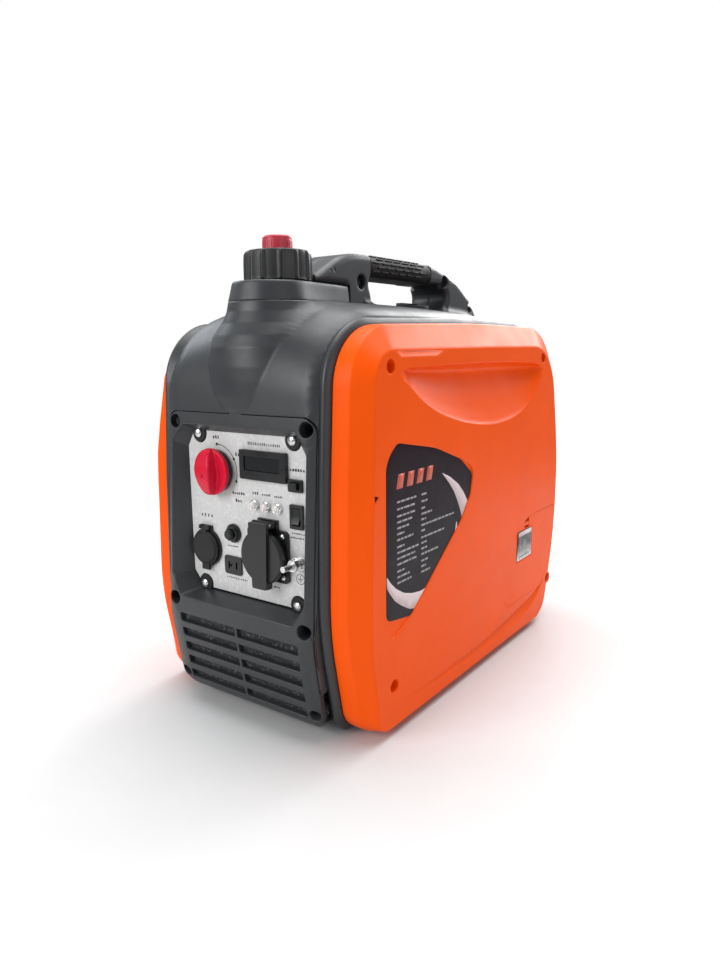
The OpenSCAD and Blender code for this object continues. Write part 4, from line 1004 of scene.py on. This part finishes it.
def front_neck():
    """The funnel below the collar, running into the deck in a wide hollow curve and into the front at a crease."""
    def reach(p):
        rear = np.clip((p[:, 1] + 205) / 40, 0, 1)
        return 1.0 + 17 * ease((p[:, 2] - 318) / 34) * (0.35 + 0.65 * rear)

    def f(p):
        q = p.copy()
        q[:, 0] = np.abs(q[:, 0])
        d = smin(neck_distance(q), shell_distance(q, FLAT_SHELL) + 0.07, reach(q))
        return np.maximum(d, q[:, 2] - 368.3)

    def keep(p):
        return (neck_distance(p) < reach(p) * 1.02 + 0.6) & (shell_distance(p, FLAT_SHELL) > -1.2) & (p[:, 1] < -42)

    co, faces = surface(f, (-74, -226, 270), (74, -38, 371), 1.3, keep=keep)
    return put(mesh("neck_funnel", co, faces, SHELL, merge=0), "housing", "charcoal_plastic", "neck_collar")


def hull2(pts):
    """The convex outline round some points."""
    def turn(a, b, c):
        return (b[0] - a[0]) * (c[1] - a[1]) - (b[1] - a[1]) * (c[0] - a[0])

    pts = sorted(set((round(float(x), 5), round(float(y), 5)) for x, y in pts))

    def half(ps):
        out = []
        for q in ps:
            while len(out) > 1 and turn(*out[-2:], q) <= 0:
                out.pop()
            out.append(q)
        return out[:-1]

    return np.array(half(pts) + half(pts[::-1]))


def resample(loop, step):
    q = np.vstack([loop, loop[:1]])
    seg = np.linalg.norm(np.diff(q, axis=0), axis=1)
    s = np.concatenate([[0], np.cumsum(seg)])
    n = int(s[-1] / step)
    t = np.arange(n) * s[-1] / n
    return np.stack([np.interp(t, s, q[:, k]) for k in range(2)], 1)


def relax(loop, times):
    for _ in range(times):
        loop = (np.roll(loop, 1, 0) + 2 * loop + np.roll(loop, -1, 0)) / 4
    return loop


def collar():
    """The collar round the filler, running back to the handle."""
    pts = list(circle(0, CAP_Y - 11, 36, 120)) + [(-25, -88), (25, -88)]
    base = relax(resample(hull2(pts), 1.6), 5)
    lean = (np.clip((-100 - base[:, 1]) / 70, 0.2, 1) * 3.4)[:, None] * (base - offset(base, 1.0))

    def ring(d, z):
        return offset(base, d) + lean * np.clip((z - 368.5) / 16.5, 0, 1)

    k, top = Skin(), 385.0
    steps = ((-2.4, 367.9), (-1.1, 368.0), (-0.2, 368.2), (0.35, 368.7), (0.5, 369.5), (0.35, 372), (0.15, 376),
             (0, 380), (-0.1, 382.6), (-0.3, 383.7), (-0.75, 384.5), (-1.4, 384.92), (-2.2, top))
    outer = k.ribbon([k.loop(ring(d, z), z) for d, z in steps])[1]
    bore = k.rim(circle(0, CAP_Y, 24.4, 64), [(0.5, top), (0.2, 384.9), (0, 384.6), (0, 372)])[0]
    k.fill(outer, [bore], spacing=10, height=top)
    skin_piece("collar", k, SHELL, "housing", "charcoal_plastic", "neck_collar")
    co, faces = tube_rows([level(offset(base, -1.7), z) for z in (366.5, 369.4)])
    return put(mesh("collar_core", co, faces, BLACK), "housing", "black_plastic", "neck_collar")


HANDLE_PROFILE = [[-137, 385.7, 2], [-137, 391.5, 6], [-92, 415.6, 80], [-52, 416.4, 200],
                  [70, 416, 60], [120, 403, 60], [158, 381.5, 60], [199, 331, 4], [150, 330, 6],
                  [88, 340, 6], [90, 362, 20], [106, 396.5, 14], [-59.5, 396.5, 8], [-49, 377, 14], [-24, 360, 3],
                  [-30, 346, 3], [-96, 346, 3], [-92, 385.7, 3]]
HANDLE_HOLES = [[-69, 390, 6.6], [93, 400, 6.6], [155, 373, 6.4]]


def handles():
    """The two moulded halves of the handle, which meet in the middle."""
    flat = Flat(outline(HANDLE_PROFILE, n=8, step=3), (-142, 322), (206, 422))
    grip_cut = 3.0

    def f(p):
        x, y, z = np.abs(p[:, 0]), p[:, 1], p[:, 2]
        d2 = flat(y, z)
        d = slab(d2, x - GRIP_HW, 6.5)
        # Seat of the grip
        seat = smax(smax(-(y + 54), y - 61, 0.5), -slab(d2 + grip_cut, x - GRIP_HW + grip_cut, 5.5), 0.5)
        d = smax(d, -seat, 0.6)
        # Room for the fuel cap and the collar
        wall = shell_distance(np.column_stack([x, y, z]), FLAT_SHELL) + 0.07
        d = smin(d, np.maximum(wall, -62 - y), np.where(y > 60, 9.0, 6.0))
        cap = np.sqrt(x * x + (y - CAP_Y) ** 2) - 31.2
        d = smax(d, -smax(cap, 385.4 - z, 0.5), 1.4)
        d = smax(d, 0.12 - x, 0.8)
        for hy, hz, r in HANDLE_HOLES:
            well = np.maximum(np.sqrt((y - hy) ** 2 + (z - hz) ** 2) - r, 17 - x)
            d = smax(d, -well, 2.2)
        for q in (-117.5, -111.5):
            slash = np.abs((y - q) * 0.92 + (z - 400) * 0.38) - 0.75
            d = smax(d, -np.maximum(slash, np.maximum(np.abs(z - 400) - 3.6, 24.2 - x)), 0.5)
        d = smax(d, -np.maximum(y + 87.6, z - 385.5), 0.3)
        return d

    def keep(p):
        q = np.abs(p[:, 0])
        own = slab(flat(p[:, 1], p[:, 2]), q - GRIP_HW, 6.5)
        return (own < np.where(p[:, 1] > 60, 9.3, 6.3)) & ((shell_distance(p, FLAT_SHELL) > -1.2) | (p[:, 1] < -62))

    co, faces = surface(f, (-0.6, -140, 326), (36, 203, 419), 1.05, keep=keep)
    for side, node in ((1, "handle_right"), (-1, "handle_left")):
        ob = mesh(node + "_skin", co * np.array([side, 1, 1]), faces[:, ::side], SHELL, merge=0)
        put(ob, "housing", "charcoal_plastic", node)


def handle_grip():
    """The rubber sleeve with staggered rows of raised dashes along it."""
    ys = [(-53.7, -2.2), (-53.7, -1.2), (-53.2, -0.45), (-52.4, -0.1), (-51.2, 0)]
    ys += [(y, 0) for y in np.linspace(-44, 51, 12)] + [(58.2, 0), (59.4, -0.1), (60.2, -0.45), (60.7, -1.2),
                                                        (60.7, -2.2)]
    section = [[-25.4, 416.3, 9.5], [25.4, 416.3, 9.5], [25.4, 400.5, 9], [17, 396.6, 8], [-17, 396.6, 8],
               [-25.4, 400.5, 9]]
    base = outline(section, n=8, step=6)
    parts = [tube_rows([level(offset(base, d), y)[:, [0, 2, 1]] for y, d in ys])]
    line = resample(outline(section, n=12), 0.5)
    line = line[line[:, 1] > 401.5]
    line = line[np.argsort(np.arctan2(line[:, 0], line[:, 1] - 401))]
    run = np.concatenate([[0], np.cumsum(np.linalg.norm(np.diff(line, axis=0), axis=1))])
    count = int(run[-1] / 4.0)
    for i in range(count + 1):
        t = run[-1] * i / count
        (x1, z1), (x, z), (x2, z2) = ([np.interp(q, run, line[:, k]) for k in range(2)]
                                      for q in (max(t - 0.8, 0), t, min(t + 0.8, run[-1])))
        turn = math.atan2(z2 - z1, x2 - x1)
        c, s_ = math.cos(turn), math.sin(turn)
        ys = np.arange(-43.5, 50, 15.6) + (7.8 if i % 2 else 0)
        for y in ys[ys <= 52]:
            co, faces = rounded_block((1.9, 12.4, 2.4), 0.8)
            co = np.column_stack([x + co[:, 0] * c - co[:, 2] * s_, y + co[:, 1], z + co[:, 0] * s_ + co[:, 2] * c])
            parts.append((co, faces))
    return piece("grip_sleeve", *join_solids(parts), RUBBER, "housing", "rubber_black", "handle_grip")


def fuel_cap():
    """Twelve broad flats between narrow ridges, and a rounded top."""
    n = 240
    a = np.arange(n) * 2 * math.pi / n
    t = (a * 12 / (2 * math.pi)) % 1
    ridge = np.exp(-((t - 0.5) / 0.095) ** 2)
    prof = [(0.86, 386.4, 0), (0.95, 386.4, 0.0), (0.985, 386.7, 0.5), (1.0, 387.5, 1), (1.0, 390, 1),
            (0.998, 400, 1), (0.99, 405.5, 1),
            (0.983, 407.6, 0.95), (0.968, 409.2, 0.8), (0.945, 410.4, 0.55), (0.915, 411.1, 0.3), (0.88, 411.35, 0.1),
            (0.80, 411.3, 0),
            (0.62, 411.1, 0), (0.50, 410.9, 0), (0.475, 410.6, 0), (0.47, 409.8, 0)]
    rows = [level(circle(0, CAP_Y, 30 * w - 1.9 * m * (1 - ridge), n), z) for w, z, m in prof]
    piece("cap_shell", *tube_rows(rows), BLACK, "cap", "black_plastic", "fuel_cap")


def vent_knob():
    """The finely ribbed vent knob on the fuel cap."""
    n = 96
    knurl = 0.5 + 0.5 * np.cos(np.arange(n) * 2 * math.pi / n * 32)
    prof = ((11.9, 410.0, 0), (12.0, 411.9, 0), (12.9, 412.3, 0), (13.2, 412.9, 0.4), (13.25, 414, 1),
            (13.2, 419.5, 1), (13.1, 420.6, 0.6), (12.7, 421.2, 0.1),
                    (12.9, 421.8, 0), (12.85, 422.6, 0), (12.4, 423.5, 0), (11.6, 424.1, 0), (10.4, 424.3, 0),
            (7, 424.35, 0), (3, 424.35, 0))
    rows = [level(circle(0, CAP_Y, r - 0.35 * m * knurl, n), z) for r, z, m in prof]
    piece("vent_knob", *tube_rows(rows), VENT, "cap_vent", "red_vent", "fuel_cap_vent")


# ---------------------------------------------------------------- rims, knob, films and prints
def rim_strips():
    """The dark rim between the housing and each side cover."""
    base = outline(COVER_OUTLINE, n=14, step=6)
    section = [(79, -5.5), (79, 0.8), (81.5, 2.4), (84, 4.0), (86, 5.1), (87.4, 5.7), (88.5, 5.9), (89.5, 5.8),
               (90.6, 5.3), (91.8, 4.1),
               (92.8, 2.5), (93.4, 0.7), (93.65, -1.2), (93.65, -5.5)]
    for side in (1, -1):
        k = Skin()
        rows = []
        for x, d in section:
            y, z = offset(base, d).T
            rows.append(k.loop(np.column_stack([widen(np.full(len(y), side * x)), y, np.maximum(z, 5.1)])))
        k.ribbon(rows + rows[:1])
        name = "rim_right" if side > 0 else "rim_left"
        skin_piece(name, k, SHELL, "housing", "charcoal_plastic", "rim_strips")


KNOB = (-33.9, 223.3)


def control_knob():
    """A thin disc with an arched finger bar, on a dark skirt."""
    def f(p):
        u, v, h = p[:, 0] - KNOB[0], p[:, 2] - KNOB[1], PLATE_Y - p[:, 1]
        r = np.sqrt(u * u + v * v)
        disc = slab(r - 20.5, np.abs(h - 8) - 2.0, 0.9)
        half = 9.6 * (1 - (v / 27.5) ** 2) - 0.15 * (h - 10)
        bar = smax(np.abs(u) - half, r - 20.4, 2.4)
        bar = smax(bar, np.sqrt((h + 11.8) ** 2 + v * v) - 31.8, 1.5)
        d = smin(disc, np.maximum(bar, 7 - h), 1.4)
        dot = np.sqrt((u - 1.4) ** 2 + (v + 2.6) ** 2) - 2.1
        return smax(d, -np.maximum(dot, 18.7 - h), 0.5)

    x, z = KNOB
    co, faces = surface(f, (x - 21.6, PLATE_Y - 21.4, z - 21.6), (x + 21.6, PLATE_Y - 5.0, z + 21.6), 0.72)
    put(mesh("knob_cap", co, faces, RED, merge=0), "knob", "red_plastic", "control_knob")
    rows = [level(circle(x, z, r, 72), PLATE_Y - h)[:, [0, 2, 1]]
            for r, h in ((4, -8), (4, 0.7), (18.6, 0.7), (19, 1.1), (19, 6.4), (15, 6.6), (3.9, 6.6))]
    piece("knob_skirt", *tube_rows(rows), SATIN, "knob", "switch_black", "control_knob")


def flat_piece(k, loop, h, tag, spacing=14.0):
    """A thin printed patch: its face at height h."""
    k.tag = tag
    row = k.loop(loop, h)
    k.strip(row, k.loop(loop, h - 0.05))
    k.fill(row, spacing=spacing, height=h)


FILM = [[-179.5, 106, 8], [-160, 103, 30], [-140, 100, 30], [-120, 105, 60], [-93, 126, 60], [-67, 149, 60],
        [-43, 180, 40], [-33, 193, 20],
        [-31, 209, 8], [-55, 226, 60], [-90, 239.5, 100], [-116, 247, 60], [-146, 252, 40], [-166, 252, 10],
        [-178, 238, 20],
        [-178.5, 160, 60]]
UPPER_ARC = [(-90, 218), (-75, 212), (-59, 203), (-49, 194), (-39, 182), (-44.5, 174.5), (-51, 168), (-53, 174),
             (-59, 185), (-67, 197),
             (-77, 207)]
SLIVER = [(-62, 169), (-60, 162), (-63, 154), (-65, 158)]
LOWER_ARC = [(-178.6, 145), (-173, 138), (-165, 131), (-153, 124), (-140, 120), (-126, 118), (-110, 119),
             (-119, 111.5), (-133, 104.4),
             (-144, 107), (-157, 114), (-167, 121), (-174, 129), (-178.6, 135)]
ROWS_Z = [204, 198, 192, 187, 182, 177, 172, 166, 161, 156, 151, 145, 140, 135]
LEFT_END = [-132, -134, -133, -140, -145, -152, -138, -152, -127, -135, -133, -152, -144, -141]
RIGHT_END = [-115, -115, -119, -107, -117, -67, -119, -85, -116, -114, -96, -112, -117, -110]


def decal():
    """The film on the right cover, with its two pale arcs, a red mark and two columns of bars in place of words."""
    k = Skin(lay_cover)
    film, h = -1.24, -1.20    # heights of the film and of the print on it
    k.fill(k.rim(outline(FILM, n=5, step=6), [(-0.35, film), (-0.1, -1.28), (0, -1.4), (0, -1.58)])[0],
           spacing=12.0, height=film)
    for pts in (UPPER_ARC, SLIVER, LOWER_ARC):
        flat_piece(k, relax(resample(np.array(pts, float), 1.5), 2), h, 1)
    for i in range(4):
        y = -164 + i * 15.5
        flat_piece(k, np.array([(y, 214.8), (y + 9.5, 214.8), (y + 12.8, 227), (y + 3.3, 227)], float), h, 2)
    words = np.random.default_rng(11)
    for z, a, b in zip(ROWS_Z, LEFT_END, RIGHT_END):
        for start, end in ((-163, a), (-125, b)):
            y = start
            while y < end - 1.5:
                run = min(float(words.uniform(3.5, 9)), end - y)
                flat_piece(k, box_loop(y, z - 0.85, y + run, z + 0.85), h, 3)
                y += run + 1.1
    ob = mesh("decal_film_print", k.points(), k.faces, [DECAL, INK_PINK, INK_RED, INK_GREY], k.tags, merge=0)
    put(ob, "housing", "decal_film", "decal_plate")


def info_label():
    """The metallic label on the service door: a pale strip, a dark field with a plain ring, silver at the foot."""
    k = Skin(lay_cover)
    edge = outline([[78, 92.6, 2], [117.6, 92.6, 2], [117.6, 125.4, 2], [80.5, 125.4, 2]], n=4, step=6)
    film, h = -0.08, -0.05    # heights of the film and of the print on it
    k.fill(k.rim(edge, [(-0.25, film), (-0.05, -0.12), (0, -0.25), (0, -0.58)])[0], spacing=9.0, height=film)
    flat_piece(k, np.array([(81, 119.6), (116.6, 119.6), (116.6, 124.6), (81.4, 124.6)], float), h, 1)
    k.tag = 2
    k.strip(k.loop(circle(98, 110.4, 3.6, 28), h), k.loop(circle(98, 110.4, 2.5, 28), h))
    for z, y0, y1 in ((105.0, 86, 110), (102.2, 88, 108), (96.4, 84, 113)):
        flat_piece(k, box_loop(y0, z - 0.5, y1, z + 0.5), h, 2 if z > 100 else 3)
    ob = mesh("info_label_print", k.points(), k.faces, [INFO, INK_PINK, INK_GREY, INK], k.tags, merge=0)
    put(ob, "door", "info_film", "info_plate")


def lay_plate(p):
    return np.stack([p[:, 0], PLATE_Y - 0.04 - p[:, 2], p[:, 1]], 1)


def panel_prints():
    """Line work on the control plate: the knob's arc with its stops, an earth symbol, and bars in place of words."""
    k, ink = Skin(lay_plate), 0.03

    def patch(loop):
        row = k.loop(loop, ink)
        k.strip(row, k.loop(loop, 0.0))
        k.cap(row)

    def arc(x, z, r, w, a0, a1, n=24):
        t = np.radians(np.linspace(a0, a1, n))
        rows = [k.loop(np.stack([x + q * np.cos(t), z + q * np.sin(t)], 1), ink) for q in (r + w / 2, r - w / 2)]
        k.strip(*rows, closed=False)

    x, z = KNOB
    arc(x, z, 23.5, 0.75, -20, 90)
    for at in ((-34, 246.8), (-13.5, 235), (-11.8, 215.3)):
        patch(circle(*at, 1.35, 20))
    words = np.random.default_rng(5)

    def words_at(q, x1, z0, tall, pitch, wide):
        while q < x1:
            run = wide * words.uniform(0.8, 1.25)
            lift = words.uniform(0, 0.35) * tall
            patch(np.array([(q, z0 - tall / 2), (q + run, z0 - tall / 2), (q + run, z0 + tall / 2 - lift),
                            (q, z0 + tall / 2 - lift)]))
            q += pitch

    for row in ((-38.5, -30, 253.2, 3.2, 3.0, 1.7), (-11.5, -6, 239.5, 3.0, 3.0, 1.7),
                (-17, -1.5, 205.2, 2.4, 2.6, 1.5), (-13.5, -6, 198.6, 2.8, 2.9, 1.6),
                (4, 40, 250.2, 2.8, 2.1, 0.9), (7.5, 13.5, 207.5, 2.6, 2.4, 1.3),
                (18.5, 28.5, 207.2, 2.0, 2.0, 1.1), (32.5, 42.5, 207.0, 2.0, 2.0, 1.1),
                (50.5, 65.5, 231.5, 2.4, 2.8, 1.6), (51.0, 64.5, 178.2, 1.5, 1.9, 1.1),
                (49.5, 66.5, 174.4, 1.5, 1.9, 1.1), (-58, -45, 181.0, 3.6, 4.2, 1.3),
                (-26, -12, 156.2, 1.5, 2.0, 1.1), (-28.5, -3.5, 126.6, 1.5, 2.2, 1.1),
                (28, 35, 127.4, 1.5, 1.9, 1.1)):
        words_at(*row)
    arc(58.8, 139.1, 4.3, 0.55, 0, 360, 40)
    for bar in ((58.5, 139.5, 59.1, 142.4), (56.2, 138.9, 61.4, 139.5), (57.0, 137.7, 60.6, 138.2),
                (57.9, 136.5, 59.7, 137.0)):
        patch(box_loop(*bar))
    put(mesh("panel_print_ink", k.points(), k.faces, INK, merge=0), "housing", "panel_print")


# ---------------------------------------------------------------- the model
def dress(node, mat, bevel=0.4, segments=2, angle=28):
    """A CAD piece keeps its shape and gets its finish, with its sharp edges broken."""
    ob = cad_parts[node]
    ob.data.materials.clear()
    ob.data.materials.append(mat)
    for p in ob.data.polygons:
        p.use_smooth = True
    if bevel:
        w = ob.modifiers.new("weld", "WELD")
        w.merge_threshold = 0.000002
        d = ob.modifiers.new("flats", "DECIMATE")
        d.decimate_type = "DISSOLVE"
        d.angle_limit = math.radians(0.6)
        b = ob.modifiers.new("edges", "BEVEL")
        b.width = bevel * 0.001
        b.segments = segments
        b.limit_method = "ANGLE"
        b.angle_limit = math.radians(angle)
        b.use_clamp_overlap = True
        b.harden_normals = False
    weighted(ob)
    return ob


DRESS = {
    "base_pan": (BLACK, 0.6), "feet": (RUBBER, 0.4), "top_shell": (SHELL, 0.5),
    "filler_gasket": (RUBBER, 0.2), "fuel_cap_plug": (BLACK, 0.3), "control_plate": (PLATE, 0.15),
    "panel_screws": (ZINC, 0.2), "plate_grommets": (RUBBER, 0.25),
    "meter_bezel": (SATIN, 0.4), "meter_window": (GLASS, 0.1), "reset_switch_body": (SATIN, 0.35),
    "reset_button": (SATIN, 0.5), "lamp_bezels": (CHROME, 0.2), "lamp_lenses": (LENS, 0.15),
    "eco_switch_body": (SATIN, 0.35), "eco_rocker": (SATIN, 0.4), "usb_socket": (SOCKET, 0.35),
    "usb_cap": (RUBBER, 0.5), "breaker_body": (SOCKET, 0.3), "breaker_button": (SATIN, 0.4),
    "dc_socket": (SOCKET, 0.3), "ac_socket": (SOCKET, 0.5), "ac_lid": (SOCKET, 0.7), "ac_hinge_pin": (STEEL, 0.1),
    "ground_stud": (ZINC, 0.25), "ground_nut": (ZINC, 0.25), "case_screws": (DARKSTEEL, 0.3),
    "service_door": (ORANGE, 0.5), "door_latch": (ORANGE, 0.4), "plug_access_lid": (BLACK, 0.8),
    "starter_grip": (RUBBER, 1.5), "starter_rope": (ROPE, 0), "starter_pulley": (NYLON, 0.4),
    "starter_housing": (BLACK, 0.5), "crankshaft": (STEEL, 0.4), "rotor_fan": (IRON, 0.3), "stator": (COPPER, 0.4),
    "engine_block": (CAST, 1.0), "cylinder_head": (CAST, 0.4), "spark_plug": (CERAMIC, 0.4),
         "muffler": (EXHAUST, 1.0),
    "fuel_tank": (TANK, 1.0), "inverter_unit": (CAST, 0.4), "air_filter_box": (BLACK, 0.8),
    "carburettor": (CAST, 0.5), "engine_mounts": (RUBBER, 0.5),
}
for node, (mat, width) in DRESS.items():
    dress(node, mat, width)

for build in (top_shell, front_frame, rear_frame, intake_foam, right_cover, left_cover, front_neck, collar, handles,
              handle_grip, fuel_cap, vent_knob, rim_strips, control_knob, decal, info_label, panel_prints):
    build()


# ---------------------------------------------------------------- floor, light and camera
def light(name, at, target, size, power, colour=(1, 1, 1)):
    d = bpy.data.lights.new(name, "AREA")
    d.shape = "RECTANGLE"
    d.size, d.size_y = size
    d.energy = power
    d.color = colour
    ob = add_object(name, d)
    ob.location = at
    ob.rotation_euler = (Vector(target) - Vector(at)).to_track_quat("-Z", "Y").to_euler()


def studio():
    scene = bpy.context.scene
    me = bpy.data.meshes.new("floor")
    rim = [(FLOOR_R * math.cos(a), FLOOR_R * math.sin(a), 0) for a in np.arange(128) * math.pi / 64]
    me.from_pydata(rim, [], [tuple(range(128))])
    me.materials.append(stuff("floor_pale", (0.62, 0.62, 0.62), 0.8, vary=0.01, grain=0, spec=0.2))
    add_object("floor", me)
    scene.world = bpy.data.worlds.new("world")
    scene.world.use_nodes = True
    tree = scene.world.node_tree
    add, room = adder(tree), tree.nodes["Background"]
    feed(tree, room, {"Color": (0.96, 0.98, 1.0, 1), "Strength": 0.32})
    # White behind the object, and a paler surrounding light on it
    backdrop = add("Background", {"Color": (1, 1, 1, 1), "Strength": 1.0})
    both = add("MixShader", {0: add("LightPath").outputs["Is Camera Ray"], 1: room.outputs[0],
                             2: backdrop.outputs[0]})
    feed(tree, tree.nodes["World Output"], {"Surface": both.outputs[0]})
    light("key", (-0.8, -2.3, 1.2), (0, 0, 0.2), (1.5, 1.3), 40)
    light("top", (0, 0.3, 2.3), (0, 0, 0.3), (2.4, 1.8), 68)
    light("back", (0, 2.1, 1.3), (0.05, 0, 0.33), (2.0, 1.0), 46)
    light("side", (2.4, -0.6, 0.7), (0, 0, 0.15), (1.6, 1.2), 9)
    light("left", (-1.9, 0.2, 1.6), (0, 0, 0.3), (1.2, 1.0), 14, (0.9, 0.95, 1))
    scene.view_settings.view_transform = "Standard"
    scene.view_settings.look = "None"


def camera():
    az, pitch, roll = (math.radians(v) for v in (35.894, 10.423, 0.739))
    fw = Vector((-math.sin(az) * math.cos(pitch), math.cos(az) * math.cos(pitch), -math.sin(pitch)))
    right = Vector((math.cos(az), math.sin(az), 0))
    down = fw.cross(right)
    x = right * math.cos(roll) + down * math.sin(roll)
    y = -right * math.sin(roll) + down * math.cos(roll)
    m = Matrix((x, -y, -fw)).transposed().to_4x4()
    m.translation = Vector((0.43909, -0.64823, 0.32932))
    cam = bpy.data.cameras.new("camera")
    cam.lens = 27.15
    cam.sensor_width = 36
    ob = add_object("camera", cam)
    ob.matrix_world = m
    bpy.context.scene.camera = ob


studio()
camera()
bpy.context.view_layer.update()
